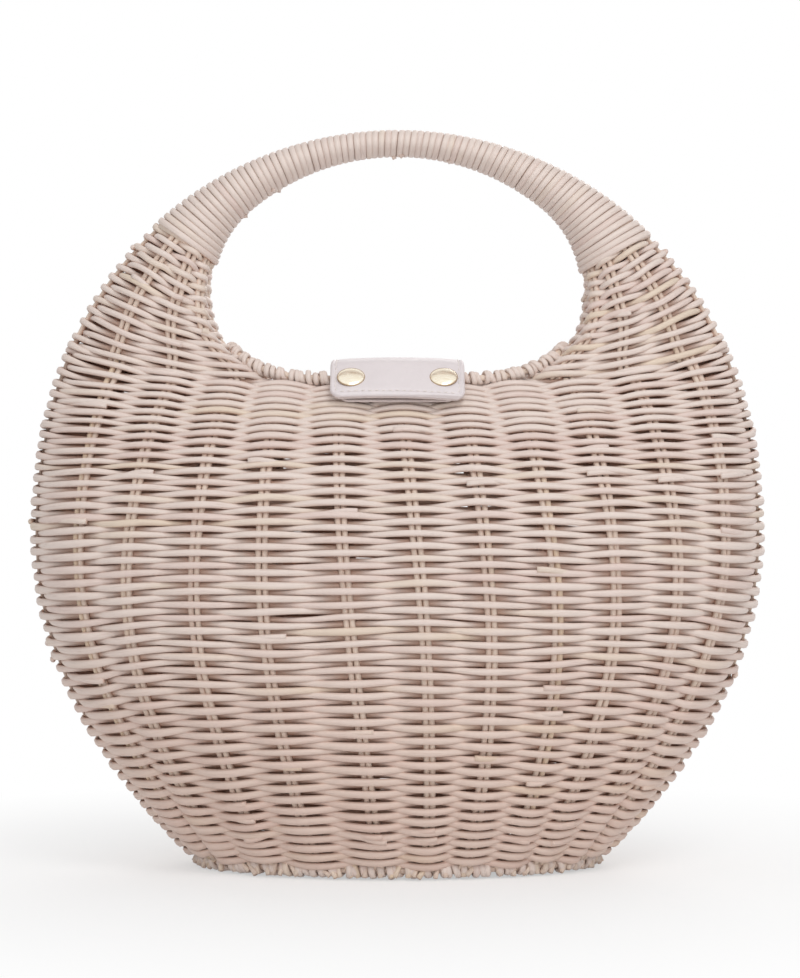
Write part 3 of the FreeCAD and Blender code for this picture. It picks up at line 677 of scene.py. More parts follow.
def weaveHorn(side, name):
    surface = hornSurface(side)
    count, start = horn["rows"], horn["start"]
    stake = np.arange(hornStakes * horn["perStake"]) / horn["perStake"]
    row = np.arange(count).reshape(-1, 1)
    pitch = (1 - start) / count
    drift = (horn["wander"] * sway(count, waves(count, stake / hornStakes, 4, 1), 3)
             + horn["jitter"] * waves(count, stake / hornStakes, 6, 3))
    drift = drift * np.clip(np.minimum(row, count - 1 - row) / horn["calmRows"], horn["calmLeast"], 1)
    level = start + (row + 0.5 + drift) * pitch

    def layRow(level, stake, row, proud=0.0):
        # over and under the horn's stakes, with less swing at its two edges
        point, normal, _ = surfaceFrame(surface, level, stake)
        normal = normal * -side
        share = np.cos(hornTurn(level, stake))
        calm = np.where(share > 0, horn["outerCalm"], horn["innerCalm"]) * share ** horn["calmPower"]
        swing = horn["swing"] * np.cos(np.pi * (stake + row)) * (1 - calm)
        path = point + normal * (swing - horn["inset"] + proud)[..., None]
        return path, normal, unit(np.cross(normal, np.gradient(path, axis=1)))

    path, normal, across = layRow(level, stake.reshape(1, -1) + np.zeros_like(level), row)
    size = 1 + horn["sizeVary"] * rng.normal(0, 1, (count, 1))
    wide = horn["rowWide"] * (1 + horn["backWide"] * backShare(hornTurn(level, stake)))
    # painted shade where a horn row passes inside a stake
    addCanes(name + "_rows", path, normal, across, weave["halfThick"] * size, weave["halfWide"] * wide * size,
             weaverCane, "basket", closed=True, slotName="woven_rattan", replaced=(name,),
             fullness=weave["fullness"], cover=washAndShadeCover(np.cos(np.pi * (stake + row))))
    # cut ends: short canes that leave a row and stop a little proud of a stake
    ends = rng.integers(horn["endMargin"], count - horn["endMargin"], horn["ends"])
    at = rng.integers(0, hornStakes, horn["ends"])
    at = at + (at + ends) % 2
    along = np.linspace(0, 1, 9)
    heading = rng.choice([-1.0, 1.0], (horn["ends"], 1))
    place = at[:, None] + heading * (horn["endPast"] - horn["endLength"] * (1 - along))
    sample = np.mod(np.rint(place * horn["perStake"]).astype(int), stake.size)
    aside = rng.uniform(-horn["endAside"], horn["endAside"], (horn["ends"], 1))
    aside = pitch * aside * smoothStep(along)
    proud = horn["endClimb"] * smoothStep(along) - horn["endSunk"] + np.zeros_like(place)
    path, normal, across = layRow(level[ends[:, None], sample] + aside, place, ends[:, None], proud)
    addCanes(name + "_ends", path, normal, across, weave["halfThick"] * horn["endThick"],
             weave["halfWide"] * horn["endWide"], weaverCane, "basket", slotName="woven_rattan")
    # the stakes inside the horn run on into the handle
    addPairs(name + "_stakes", surface, np.linspace(*horn["stakeSpan"], 40).reshape(1, -1), hornStakes,
             horn["inset"], horn["stakeHalf"], flip=-side)


weaveHorn(-1, "left_horn_weave")
weaveHorn(1, "right_horn_weave")
print("horns woven")


# the handle: a core bundle lapped with one long cane

handle = {
    "turns": 78, "perTurn": 40, "overlap": 0.6,   # degrees by which the lapping starts down on the horns
    "halfThick": 1.0, "halfWide": 1.50, "fullness": 1.3,
    "holeNarrow": 0.08,                           # turns are narrower on the hole's edge
    "wander": 0.04, "toneDrift": 0.22,
    "coreBed": 0.5,                               # the lapping sinks this far into the core
    # cut ends: turns left free, slip in turns, lean, and the part of the length on each side of the lapping
    "ends": 6, "endMargin": 4, "endSlip": 0.12, "endLean": 0.7, "endLength": 5.0, "endSpan": (-0.6, 0.45),
    "endHalf": 0.95,
}


def handleArc(angle):
    # outer and hole radius and half depth at an angle round the arch, and the direction out from its middle
    folded = np.minimum(angle, np.pi - angle)                          # both halves of the arch are alike
    radial = np.stack([np.cos(angle), np.zeros_like(angle), np.sin(angle)], -1)
    return outerRadius(folded), holeRadius(folded), handleHalfDepth(folded), radial


def lapHandle():
    start = math.radians(horn["rightTo"] - handle["overlap"])
    end = math.pi - math.radians(horn["leftTo"] - handle["overlap"])
    turns, half = handle["turns"], handle["halfThick"]
    turn = np.linspace(0, turns, turns * handle["perTurn"] + 1)
    drift = handle["wander"] * waves(1, turn / turns, 40, 3)[0]
    angle = start + (end - start) * (turn + drift) / turns
    outer, inner, deep, radial = handleArc(angle)
    halfLong, halfDeep = (outer - inner) / 2 - half, deep - half
    winding = 2 * np.pi * turn
    radius = (outer + inner) / 2 + halfLong * np.cos(winding)
    along = np.stack([-np.sin(angle), np.zeros_like(angle), np.cos(angle)], -1)
    front = np.array([0.0, -1.0, 0.0])
    path = radial * radius[:, None] + front * (halfDeep * np.sin(winding))[:, None] + (0, 0, pivotHeight)
    normal = unit(radial * (np.cos(winding) / halfLong)[:, None]
                  + front * (np.sin(winding) / halfDeep)[:, None])
    wide = handle["halfWide"] * (1 - handle["holeNarrow"] * (1 - np.cos(winding)) / 2)
    tone = np.clip(0.5 + handle["toneDrift"] * waves(1, turn / turns, 60, 5)[0], 0, 1)
    addCanes("handle_lapping_cane", path[None], normal[None], along[None], half, wide[None], lappingCane,
             "basket", slotName="lapping_cane", replaced=("handle_lapping",), tone=tone[None],
             fullness=handle["fullness"])
    # a few cut ends of lapping stand out of the hole's edge
    count, slip = handle["ends"], handle["endSlip"]
    at = rng.integers(handle["endMargin"], turns - handle["endMargin"], count)
    at = np.rint((at + 0.5 + rng.uniform(-slip, slip, count)) * handle["perTurn"]).astype(int)
    heading = unit(normal[at] + along[at] * rng.normal(0, handle["endLean"], (count, 1)))
    reach = np.linspace(*handle["endSpan"], 5).reshape(1, -1, 1) * handle["endLength"]
    stubs = path[at][:, None] + heading[:, None] * reach
    sideways = np.broadcast_to(front, stubs.shape)
    addCanes("handle_lapping_ends", stubs, np.cross(sideways, heading[:, None]), sideways, handle["endHalf"],
             handle["endHalf"], lappingCane, "basket", slotName="lapping_cane")
    # the bundle under the lapping, a plain tapered tube that shows only in the gaps
    outer, inner, deep, radial = handleArc(np.linspace(start, end, 60))
    path = radial * ((outer + inner) / 2)[:, None] + (0, 0, pivotHeight)
    bed = handle["coreBed"] - 2 * half
    addCanes("handle_core_bundle", path[None], radial[None], np.broadcast_to(front, path.shape)[None],
             ((outer - inner) / 2 + bed)[None], (deep + bed)[None], stakeCane, "basket", sides=24,
             slotName="core_cane", replaced=("handle_core",))


lapHandle()
print("handle lapped")


# lapped edges: the mouth rim and the foot

rim = {
    "halfLength": 72.0, "halfDepth": 24.4, "height": bag["mouthHeight"] + 0.9, "squareness": 2.7,
    "noseRise": 14.0, "risePower": 5.0,
    "coreHalf": 1.4, "laps": 128, "halfThick": 0.9, "halfWide": 1.2, "uneven": 0.26, "slip": 0.30,
}
foot = {
    "halfLength": 84.6, "halfDepth": 47.1, "height": 4.3, "squareness": 2.0,
    "noseRise": 0.0, "risePower": 4.0,
    "coreHalf": 1.7, "laps": 120, "halfThick": 1.05, "halfWide": 1.5, "uneven": 0.28, "slip": 0.35,
    # cut stake ends: slip in steps, then mm, leans and sizes
    "ends": 104, "endSlip": 0.4, "endSpread": 2.0, "endRise": (0.5, 2.0), "endLean": 0.6,
    "endOut": (-0.1, 0.5), "endLength": (4.0, 7.0), "endSpan": (-0.3, 1.0), "endHalf": 1.2,
    "endSize": (0.8, 1.05),
}
lapping = {"perLap": 14, "bed": 0.9, "fullness": 1.2, "toneDrift": 0.25, "coreSides": 10}   # both edges


def ovalPath(turn, edge):
    # a closed oval, squarer than an ellipse at the mouth, that rises towards its two ends
    power = 2 / edge["squareness"]
    c, s = np.cos(turn), np.sin(turn)
    x = edge["halfLength"] * np.sign(c) * np.abs(c) ** power
    y = -edge["halfDepth"] * np.sign(s) * np.abs(s) ** power
    rise = edge["noseRise"] * np.abs(x / edge["halfLength"]) ** edge["risePower"]
    return np.stack([x, y, edge["height"] + rise], -1)


def evenOval(edge):
    # a function of 0 to 1 that goes round the oval at an even pace
    path = ovalPath(np.linspace(0, 2 * np.pi, 4001), edge)
    run = np.concatenate([[0], np.cumsum(np.linalg.norm(np.diff(path, axis=0), axis=1))])
    return lambda at: np.stack([np.interp(at, run / run[-1], path[:, k], period=1) for k in range(3)], -1)


def edgeFrame(oval, at):
    # direction along the edge, the level direction out of the oval, and up
    along = unit(oval(at + 0.002) - oval(at - 0.002))
    outward = unit(np.cross((0, 0, 1), along))
    return along, outward, np.cross(along, outward)


def lapEdge(name, edge, replaced):
    oval, laps = evenOval(edge), edge["laps"]
    # the core under the laps
    place = np.linspace(0, 1, 241)[:-1]
    _, outward, up = edgeFrame(oval, place)
    addCanes(name + "_core", oval(place)[None], outward[None], up[None], edge["coreHalf"], edge["coreHalf"],
             stakeCane, "basket", closed=True, slotName="core_cane", sides=lapping["coreSides"])
    # one lapping cane wound round it: turns bunch and open a little, and some stand higher
    count = laps * lapping["perLap"]
    place = np.arange(count) / count
    at = place + edge["slip"] * waves(1, place, laps // 2, laps // 4)[0] / laps
    _, outward, up = edgeFrame(oval, at)
    turn = 2 * np.pi * laps * place
    lift = edge["coreHalf"] + edge["halfThick"] * lapping["bed"]
    lift = lift + edge["uneven"] * waves(1, place, laps // 2, laps // 3)[0]
    away = outward * np.cos(turn)[:, None] + up * np.sin(turn)[:, None]
    lap = oval(at) + away * lift[:, None]
    across = unit(np.cross(away, np.gradient(lap, axis=0)))
    tone = np.clip(0.5 + lapping["toneDrift"] * waves(1, place, 60, 3), 0, 1)
    addCanes(name, lap[None], away[None], across[None], edge["halfThick"], edge["halfWide"], lappingCane,
             "basket", closed=True, slotName="lapping_cane", replaced=replaced, tone=tone,
             fullness=lapping["fullness"])


def footEnds():
    # cut stake ends under the last row: short rods that lean down, sideways and a little outwards
    count, oval, half = foot["ends"], evenOval(foot), foot["endHalf"]
    at = (np.arange(count) + rng.uniform(-foot["endSlip"], foot["endSlip"], count)) / count
    along, outward, up = edgeFrame(oval, at)
    start = oval(at) + outward * foot["endSpread"] + up * rng.uniform(*foot["endRise"], (count, 1))
    sideways = along * rng.normal(0, foot["endLean"], (count, 1))
    heading = unit(-up + sideways + outward * rng.uniform(*foot["endOut"], (count, 1)))
    reach = np.minimum(rng.uniform(*foot["endLength"], count), (start[:, 2] - half) / -heading[:, 2])
    path = start[:, None] + heading[:, None] * (reach[:, None] * np.linspace(*foot["endSpan"], 4))[..., None]
    thin = rng.uniform(*foot["endSize"], (count, 1)) * half
    outwards = np.broadcast_to(unit(np.cross(along, heading))[:, None], path.shape)
    addCanes("foot_stake_ends", path, outwards, np.cross(heading[:, None], outwards), thin, thin, stakeCane,
             "basket", slotName="stake_cane")


lapEdge("mouth_rim_lapping", rim, ("front_rim_cane", "back_rim_cane"))
lapEdge("foot_border_lapping", foot, ("base_border",))
footEnds()
print("edges lapped")


# the woven oval base

base = {
    "rows": 16, "pitch": 2.75, "halfLength": 83.5, "halfDepth": 46.0, "height": 4.4, "swing": 1.2,
    "leastDepth": 1.6,                            # half depth of the innermost rows
    "halfThick": 1.2, "halfWide": 1.45, "perStake": 8,
    "stakeInner": 34.0, "stakeOut": 1.02, "stakeHalf": (1.1, 2.2),
    "rodPlaces": (-2.3, 0.0, 2.3), "rodReach": 41.0, "rodRise": 2.0, "rodHalf": 1.2,
}


def weaveBase():
    stake = np.arange(stakeCount * base["perStake"]) / base["perStake"]
    angle = np.interp(stake, np.arange(stakeCount + 1), lowAngles)
    row = np.arange(base["rows"]).reshape(-1, 1)
    shrink = row * base["pitch"]
    x = -(base["halfLength"] - shrink) * np.cos(angle)
    y = -np.maximum(base["halfDepth"] - shrink, base["leastDepth"]) * np.sin(angle)
    z = base["height"] + base["swing"] * np.cos(np.pi * (stake + row)) + np.zeros_like(x)
    path = np.stack([x, y, z], -1)
    up = np.zeros_like(path) + (0, 0, 1)
    across = unit(np.cross(up, np.roll(path, -1, 1) - np.roll(path, 1, 1)))
    addCanes("base_rows", path, -up, across, base["halfThick"], base["halfWide"], weaverCane, "basket",
             closed=True, slotName="woven_rattan", replaced=("base_panel",))
    # stakes of the base run from the foot to the middle line
    along = np.linspace(base["stakeOut"], 0.0, 24).reshape(1, -1, 1)
    turn = lowAngles[:-1]
    edge = np.stack([-base["halfLength"] * np.cos(turn), -base["halfDepth"] * np.sin(turn)], -1)
    inner = np.stack([np.clip(edge[:, 0], -base["stakeInner"], base["stakeInner"]), np.zeros(stakeCount)], -1)
    flat = inner[:, None] + (edge - inner)[:, None] * along
    path = np.concatenate([flat, np.full((*flat.shape[:2], 1), base["height"])], -1)
    direction = unit(path[:, :1] - path[:, -1:]) + np.zeros_like(path)
    up = np.zeros_like(path) + (0, 0, 1)
    addCanes("base_stakes", path, up, np.cross(direction, up), *base["stakeHalf"], stakeCane, "basket",
             slotName="stake_cane")
    # rods along the middle, over the stakes, close the base inside its first row
    places = np.array(base["rodPlaces"]).reshape(-1, 1)
    x = np.linspace(-base["rodReach"], base["rodReach"], 24) + np.zeros_like(places)
    path = np.stack([x, places + np.zeros_like(x), np.full_like(x, base["height"] + base["rodRise"])], -1)
    up, sideways = np.zeros_like(path) + (0, 0, 1), np.zeros_like(path) + (0, 1, 0)
    addCanes("base_rods", path, up, sideways, base["rodHalf"], base["rodHalf"], stakeCane, "basket",
             slotName="stake_cane")


weaveBase()
print("base woven")


# leather closure: a strap over the mouth, riveted behind and pressed shut in front

closure = {
    "width": 57.0, "corner": 5.0,
    "outerThick": 1.8, "liningThick": 1.0, "liningInset": 0.4,
    "crownAngle": 10.0, "bendRadius": 9.0,
    "leafLength": 19.4, "tailLength": 24.0, "tailLean": 9.0,
    "crease": 2.4, "creaseDeep": 0.34, "creaseWide": 0.42,   # the seam's groove inside the edge
    "puff": 0.40, "puffOver": 3.2,                           # the leather swells inside the groove
    "ridge": 0.30, "ridgeAt": 1.1, "ridgeWide": 0.7,         # and outside it
    "bow": 1.4, "crownBow": 0.75, "skew": 0.7,               # it sags to both ends and hangs a little askew
    "bendFrom": -1.0, "bendTo": 7.0,                         # it bends from the tail's bend to past the hinge
    "patchWidth": 50.0, "patchLength": 13.8, "patchStart": 1.2, "patchThick": 1.2, "seat": 0.3,
    "stitchPitch": 2.9, "stitchReach": 0.36,                 # half a thread is this share of a step long
    "stitchHalf": 0.30, "stitchTip": 0.45, "stitchSunk": 0.12, "stitchArch": 0.38,
    "rings": 170, "across": 61, "edge": 7,
}
stud = {
    "spacing": 39.2, "fromBend": 8.0, "sunk": 0.12,
    "radius": 5.7, "height": 1.3, "shank": 1.6, "shankShort": 0.4,
    "domeEdge": 0.18, "rolledEdge": ((1.0, 0.16), (0.985, 0.05), (0.95, 0.0)),   # shares of radius and height
    "lip": 0.25, "lipHeight": 0.44, "lipRound": 0.15,
    "socketRadius": 4.5, "socketHeight": 1.2, "socketGap": 0.3, "socketPlay": 0.3,
    "postRadius": 4.0, "postHeight": 0.7, "postGap": 0.2, "nubRadius": 2.0, "nubHeight": 0.9,
    "rivetFromBend": 18.0, "rivetRadius": 4.0, "rivetHeight": 1.6, "rivetShank": 1.5, "rivetProud": 0.25,
    "washerDepth": 9.0, "washerThick": 1.0, "washerPlay": 0.1, "round": 0.2, "sides": 40,
}
hinge = frame["joints"][0]["pos_m"]
crownHalfSpan, crownEndHeight = hinge[1] / mm, hinge[2] / mm
step = closure["outerThick"]
wallSlope = math.atan2(step, centreHalfDepth(pivotHeight - step) - centreHalfDepth(pivotHeight))
tailSlope = wallSlope + math.radians(closure["tailLean"])
crownTurn = math.radians(closure["crownAngle"])
crownRadius = crownHalfSpan / math.sin(crownTurn)
crownHalf = crownRadius * crownTurn                      # this and the next are lengths along the strap
frontLeafStart = crownHalf + closure["bendRadius"] * (wallSlope - crownTurn)
tailLeafStart = crownHalf + closure["bendRadius"] * (tailSlope - crownTurn)
strapThick = closure["outerThick"] + closure["liningThick"]


def strapLine(run):
    # the strap's top in the YZ plane: its heading turns slowly over the crown and quickly at the two bends,
    # and its place is the sum of the headings, counted from the crown forwards
    fine = np.linspace(-tailLeafStart - closure["tailLength"], frontLeafStart + closure["leafLength"], 6001)
    turn = lambda at: (np.clip(at / crownRadius, -crownTurn, crownTurn)
                       + np.clip((at - crownHalf) / closure["bendRadius"], 0, wallSlope - crownTurn)
                       - np.clip((-at - crownHalf) / closure["bendRadius"], 0, tailSlope - crownTurn))
    heading = turn(fine)
    y = -np.cumsum(np.cos(heading)) * (fine[1] - fine[0])
    z = -np.cumsum(np.sin(heading)) * (fine[1] - fine[0])
    y = y - np.interp(0, fine, y)
    z = z - np.interp(crownHalf, fine, z) + crownEndHeight
    return np.interp(run, fine, y), np.interp(run, fine, z), turn(run)


def patchLine(run):
    # a straight line down the front wall, a little above the weave
    lift = closure["seat"] + closure["patchThick"]
    down = closure["patchStart"] + run
    y = -bag["mouthHalfDepth"] - np.cos(wallSlope) * down - np.sin(wallSlope) * lift
    z = pivotHeight - np.sin(wallSlope) * down + np.cos(wallSlope) * lift
    return y, z, np.full_like(run, wallSlope)


def leatherPoint(line, x, run, rise, width):
    # a point of the sheet: along the line by run, across by x, and rise along the line's normal; the strap's
    # own sag across its width and its slight skew come on top
    if line is strapLine:
        leaf = smoothStep((run - crownHalf) / closure["leafLength"])
        sag = closure["crownBow"] + (1 - closure["crownBow"]) * leaf
        rise = rise - closure["bow"] * sag * (2 * x / width) ** 2
        run = run + closure["skew"] * leaf * 2 * x / width
    y, z, heading = line(run)
    return np.stack([x, y - np.sin(heading) * rise, z + np.cos(heading) * rise], -1)


def swell(edge):
    # height of the finished face by distance from the edge: a ridge, the seam's groove, then a low cushion
    bump = lambda at, wide: np.exp(-((edge - at) / wide) ** 2)
    return (closure["puff"] * (1 - bump(0, closure["puffOver"]))
            + closure["ridge"] * bump(closure["ridgeAt"], closure["ridgeWide"])
            - closure["creaseDeep"] * bump(closure["crease"], closure["creaseWide"]))


def leatherSheet(name, line, first, last, width, top, thick, material, finish):
    # a strip with round edges: rings along the line, each a flat stadium; width shrinks round the corners
    # and thickness to nothing at both tips
    count, half, corner = closure["rings"], thick / 2, closure["corner"]
    run = first + (last - first) * (1 - np.cos(np.pi * np.linspace(0, 1, count))) / 2
    tip = np.minimum(run - first, last - run)
    halfWide = width / 2 - corner + np.sqrt(np.maximum(corner ** 2 - np.maximum(corner - tip, 0) ** 2, 0))
    slim = np.sqrt(np.maximum(1 - np.maximum(1 - tip / half, 0) ** 2, 0))
    u = np.linspace(-1, 1, closure["across"])
    u = u * (1.5 - 0.5 * u ** 2)                                       # closer towards the edges
    turn = np.linspace(0, np.pi, closure["edge"] + 2)[1:-1]
    flatX = np.concatenate([u, np.ones(turn.size), u[::-1], -np.ones(turn.size)])
    roundX = np.concatenate([0 * u, np.sin(turn), 0 * u, -np.sin(turn)])
    level = np.concatenate([1 + 0 * u, np.cos(turn), -1 + 0 * u, -np.cos(turn)])
    x = (halfWide[:, None] - half) * flatX + half * roundX * slim[:, None]
    rise = half * (level - 1) * slim[:, None] - half * (1 - slim[:, None]) - top
    if finish:
        edge = np.minimum(width / 2 - np.abs(x), tip[:, None])
        rise = rise + np.clip(level, 0, 1) * swell(edge) * slim[:, None]
    points = leatherPoint(line, x, run[:, None] + np.zeros_like(x), rise, width)
    quads, _ = tubeGrid(1, count, flatX.size, False)
    quads = quads[:(count - 1) * flatX.size]                           # the tips close by themselves
    piece = addMesh(name, points, quads[:, ::-1], material, None)
    weld(piece.data)
    return piece


def sewStrap(first, last):
    # a seam along the groove: a rounded rectangle in the strap's own plane, with a short arched thread a step
    inset, corner = closure["crease"], closure["corner"] - closure["crease"]
    half, turn = closure["width"] / 2 - inset, np.linspace(0, np.pi / 2, 16)
    low, high = first + inset + corner, last - inset - corner
    line = np.concatenate([
        np.stack([cx + corner * np.cos(turn + start), cy + corner * np.sin(turn + start)], -1)
        for cx, cy, start in ((half - corner, high, 0), (corner - half, high, np.pi / 2),
                              (corner - half, low, np.pi), (half - corner, low, 1.5 * np.pi))])
    line = np.concatenate([line, line[:1]])
    length = np.concatenate([[0], np.cumsum(np.linalg.norm(np.diff(line, axis=0), axis=1))])
    count = int(length[-1] / closure["stitchPitch"])
    share = np.linspace(-closure["stitchReach"], closure["stitchReach"], 7)
    at = (np.arange(count)[:, None] + 0.5 + share) * length[-1] / count
    x, run = np.interp(at, length, line[:, 0]), np.interp(at, length, line[:, 1])
    arch = 1 - (share / closure["stitchReach"]) ** 2
    rise = swell(inset) - closure["stitchSunk"] + closure["stitchArch"] * arch + np.zeros_like(x)
    path = leatherPoint(strapLine, x, run, rise, closure["width"])
    heading = strapLine(run)[2]
    normal = np.stack([np.zeros_like(x), -np.sin(heading), np.cos(heading)], -1)
    across = unit(np.cross(normal, np.gradient(path, axis=1)))
    thick = closure["stitchHalf"] * (closure["stitchTip"] + (1 - closure["stitchTip"]) * arch)
    return addCanes("strap_stitches", path, normal, across, thick, thick, threadCotton, None, sides=6)


def weld(mesh):
    shape = bmesh.new()
    shape.from_mesh(mesh)
    bmesh.ops.remove_doubles(shape, verts=shape.verts, dist=1e-7)
    bmesh.ops.recalc_face_normals(shape, faces=shape.faces)
    shape.to_mesh(mesh)
    shape.free()


def makeStrap():
    first, last = -tailLeafStart - closure["tailLength"], frontLeafStart + closure["leafLength"]
    outer = leatherSheet("closure_strap_leather", strapLine, first, last, closure["width"], 0.0,
                         closure["outerThick"], strapLeather, True)
    inset = closure["liningInset"]
    lining = leatherSheet("closure_strap_backing", strapLine, first + inset, last - inset,
                          closure["width"] - 2 * inset, closure["outerThick"], closure["liningThick"],
                          liningLeather, False)
    bend = np.array([closure["bendFrom"] - tailLeafStart, closure["bendTo"] - crownHalf])
    marks = [(0, y * mm, z * mm) for y, z in zip(*strapLine(bend)[:2])]
    for piece, nodes, slotName in ((outer, ("closure_strap_outer", "strap_tail"), "strap_leather"),
                                   (lining, ("closure_strap_lining",), "lining_leather")):
        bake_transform(piece)
        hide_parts(*nodes)
    stitches = sewStrap(first, last)
    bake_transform(stitches)
    patch = leatherSheet("front_patch_leather", patchLine, 0.0, closure["patchLength"],
                         closure["patchWidth"], 0.0, closure["patchThick"], liningLeather, False)
    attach(patch, "basket")
    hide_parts("front_patch")


def turnedPiece(name, profile, run, places, depth, body, node, metal=goldMetal):
    # a half profile of (radius, height) turned about the leather's normal at each place
    y, z, heading = (float(value[0]) for value in strapLine(np.array([run])))
    out = np.array([0.0, -math.sin(heading), math.cos(heading)])
    side = np.array([1.0, 0.0, 0.0])
    deep = np.cross(out, side)
    radius, height = np.array(profile, float).T
    turn = 2 * np.pi * np.arange(stud["sides"]) / stud["sides"]
    ring = side * np.cos(turn)[:, None] + deep * np.sin(turn)[:, None]
    shape = radius[:, None, None] * ring + (height[:, None, None] - depth) * out
    bases = np.array([(x, y, z) for x in places])
    points = bases[:, None, None, :] + shape
    quads, _ = tubeGrid(len(bases), len(radius), stud["sides"], False)
    keep = (quads // stud["sides"]).max(1) - (quads // stud["sides"]).min(1) == 1
    weld(addMesh(name, points, quads[keep], metal, body, (node,), "gold_hardware").data)


def domeProfile(radius, height, shank, length):
    # a low dome on a rolled edge, with its shank below
    turn, edge = np.radians([90, 84, 74, 62, 50, 38, 26, 14, 4]), stud["domeEdge"]
    dome = [(radius * math.cos(a), height * (edge + (1 - edge) * math.sin(a))) for a in turn]
    dome[0] = (0.0, height)
    rolled = [(radius * wide, height * high) for wide, high in stud["rolledEdge"]]
    return dome + rolled + [(shank, 0.0), (shank, -length), (0.0, -length)]


def ringProfile(inner, outer, high):
    # a flat ring below its upper face, with a round on its outer edges
    small = stud["round"]
    return [(inner, 0), (outer - small, 0), (outer, -small), (outer, -high + small), (outer - small, -high),
            (inner, -high), (inner, 0)]


def makeHardware():
    places = (-stud["spacing"] / 2, stud["spacing"] / 2)
    run = frontLeafStart + stud["fromBend"]
    turnedPiece("press_stud_domes", domeProfile(stud["radius"], stud["height"], stud["shank"],
                                                strapThick - stud["shankShort"]),
                run, places, stud["sunk"], "closure_strap", "press_stud_caps")
    # the lips round the domes carry the painted dark reflection
    inner, outer, high = stud["radius"] - stud["lip"], stud["radius"] + stud["lip"], stud["lipHeight"]
    small = stud["lipRound"]
    turnedPiece("press_stud_lips_painted_reflection", [(inner, high), (outer - small, high), (outer, high - small),
                                    (outer, -small), (inner, -small), (inner, high)],
                run, places, stud["sunk"], "closure_strap", "press_stud_caps", goldDarkReflection)
    depth = strapThick + stud["socketGap"]
    turnedPiece("press_stud_rings", ringProfile(stud["nubRadius"] + stud["socketPlay"], stud["socketRadius"],
                                                stud["socketHeight"]),
                run, places, depth, "closure_strap", "press_stud_sockets")
    neck, tall, seat, small = stud["nubRadius"], stud["nubHeight"], stud["postRadius"], stud["round"]
    turnedPiece("press_stud_nubs", [(0, tall), (neck * 0.7, tall), (neck, tall * 0.7), (neck * 0.9, 0),
                                    (seat - small, 0), (seat, -small), (seat, -stud["postHeight"]),
                                    (0, -stud["postHeight"])],
                run, places, depth + stud["socketHeight"] + stud["postGap"], "basket", "press_stud_posts")
    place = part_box("strap_rivets")[1].x / mm - stud["rivetRadius"]
    places = (-place, place)
    run = -tailLeafStart - stud["rivetFromBend"]
    turnedPiece("tail_rivets", domeProfile(stud["rivetRadius"], stud["rivetHeight"], stud["rivetShank"],
                                           stud["washerDepth"] + stud["washerThick"]),
                run, places, -stud["rivetProud"], "basket", "strap_rivets")
    turnedPiece("tail_washers", ringProfile(stud["rivetShank"] + stud["washerPlay"], stud["rivetRadius"],
                                            stud["washerThick"]),
                run, places, stud["washerDepth"], "basket", "rivet_washers")


makeStrap()
makeHardware()
print("closure fitted")


# room, light and camera

studio = {
    "ambient": 0.53, "backdrop": 1.0,                        # the room's light, and how bright it looks
    "floorReach": 3.0, "floorGrey": 0.92, "floorRoughness": 0.9,
    "fade": (0.10, 0.34), "fadeLeast": 0.5,                  # the floor turns plain white away from the bag
    "aim": (0, 0, 0.16),
    "lamps": (("front", (0.15, -1.9, 0.8), 1.3, 7.4),        # name, place, size and power
              ("key", (0.45, -1.2, 1.8), 0.9, 10.9),
              ("back", (0.5, 1.9, 0.9), 1.3, 12)),
    "camera": (0.0011, -1.2, 0.1635), "lens": 101.5, "sensor": 36.0,
}


def seenRays(tree):
    # 1 for what is looked at, directly, in a gloss or through something, and 0 for light
    rays = addNode(tree, "ShaderNodeLightPath").outputs
    seen = addNode(tree, "ShaderNodeMath", {0: rays["Is Camera Ray"], 1: rays["Is Glossy Ray"]},
                   operation="MAXIMUM")
    return addNode(tree, "ShaderNodeMath", {0: seen.outputs[0], 1: rays["Is Transmission Ray"]},
                   operation="MAXIMUM").outputs[0]


def makeRoom(scene):
    world = bpy.data.worlds.new("studio")
    scene.world = world
    world.use_nodes = True
    tree = world.node_tree
    tree.nodes.clear()
    strength = addNode(tree, "ShaderNodeMapRange", {
        "Value": seenRays(tree), "To Min": studio["ambient"], "To Max": studio["backdrop"]})
    background = addNode(tree, "ShaderNodeBackground", {
        "Color": (1, 1, 1, 1), "Strength": strength.outputs[0]})
    out = addNode(tree, "ShaderNodeOutputWorld")
    tree.links.new(background.outputs[0], out.inputs[0])


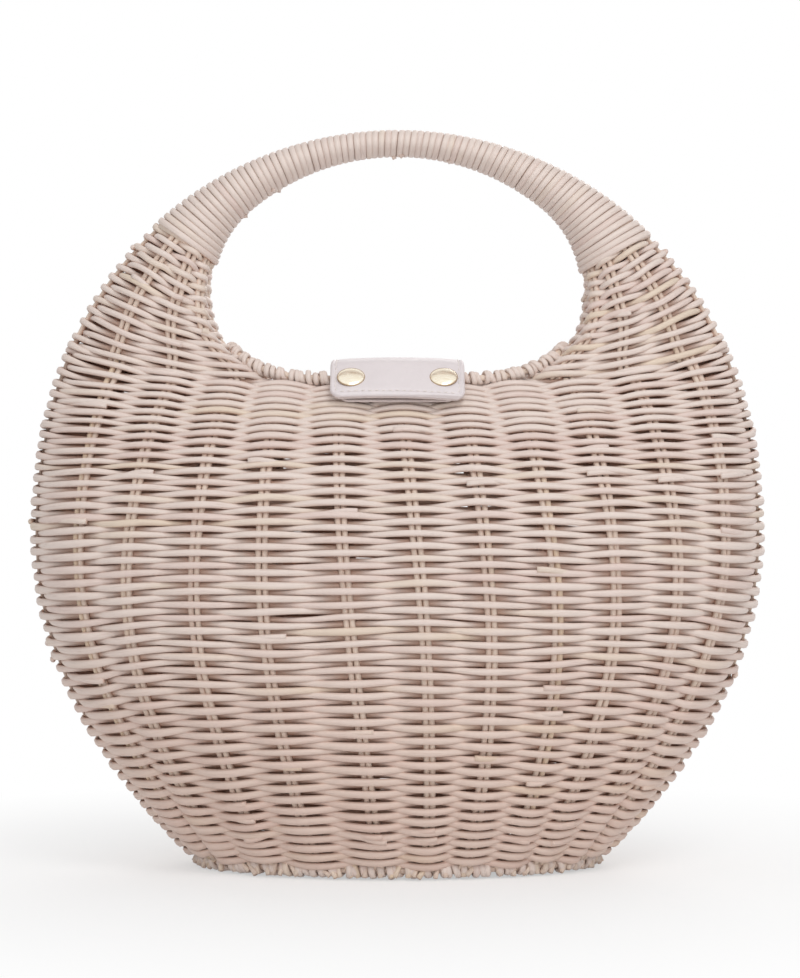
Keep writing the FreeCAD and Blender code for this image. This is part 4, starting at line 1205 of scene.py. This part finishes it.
def makeFloor(scene):
    mesh, reach, grey = bpy.data.meshes.new("floor"), studio["floorReach"], studio["floorGrey"]
    corners = [(-reach, -reach, 0), (reach, -reach, 0), (reach, reach, 0), (-reach, reach, 0)]
    mesh.from_pydata(corners, [], [(0, 1, 2, 3)])
    floor = bpy.data.objects.new("floor", mesh)
    scene.collection.objects.link(floor)
    material, tree, shader = newMaterial("pale_floor")
    shader.inputs["Base Color"].default_value = (grey, grey, grey, 1)
    shader.inputs["Roughness"].default_value = studio["floorRoughness"]
    glow = addNode(tree, "ShaderNodeEmission", {"Color": (1, 1, 1, 1), "Strength": 1.0})
    place = addNode(tree, "ShaderNodeTexCoord")
    far = addNode(tree, "ShaderNodeVectorMath", {0: place.outputs["Object"]}, operation="LENGTH")
    fade = addNode(tree, "ShaderNodeMapRange", {
        "Value": far.outputs["Value"], "From Min": studio["fade"][0], "From Max": studio["fade"][1],
        "To Min": studio["fadeLeast"], "To Max": 1.0})
    shown = addNode(tree, "ShaderNodeMath", {0: fade.outputs[0], 1: seenRays(tree)}, operation="MULTIPLY")
    mixed = addNode(tree, "ShaderNodeMixShader", {
        0: shown.outputs[0], 1: shader.outputs[0], 2: glow.outputs[0]})
    tree.links.new(mixed.outputs[0], tree.nodes["Material Output"].inputs[0])
    mesh.materials.append(material)


def addLamp(scene, name, place, size, power):
    light = bpy.data.lights.new(name, "AREA")
    light.shape, light.size, light.energy = "DISK", size, power
    holder = bpy.data.objects.new(name, light)
    holder.location = place
    away = np.array(place) - np.array(studio["aim"])
    holder.rotation_euler = (math.atan2(math.hypot(away[0], away[1]), away[2]), 0,
                             math.atan2(away[0], -away[1]))
    scene.collection.objects.link(holder)


def makeStage():
    scene = bpy.context.scene
    scene.view_settings.view_transform = "Standard"
    makeRoom(scene)
    makeFloor(scene)
    for lamp in studio["lamps"]:
        addLamp(scene, *lamp)
    camera = bpy.data.cameras.new("camera")
    camera.lens, camera.sensor_width = studio["lens"], studio["sensor"]
    holder = bpy.data.objects.new("camera", camera)
    holder.location = studio["camera"]
    holder.rotation_euler = (math.pi / 2, 0, 0)
    scene.collection.objects.link(holder)
    scene.camera = holder


makeStage()
print("stage set")
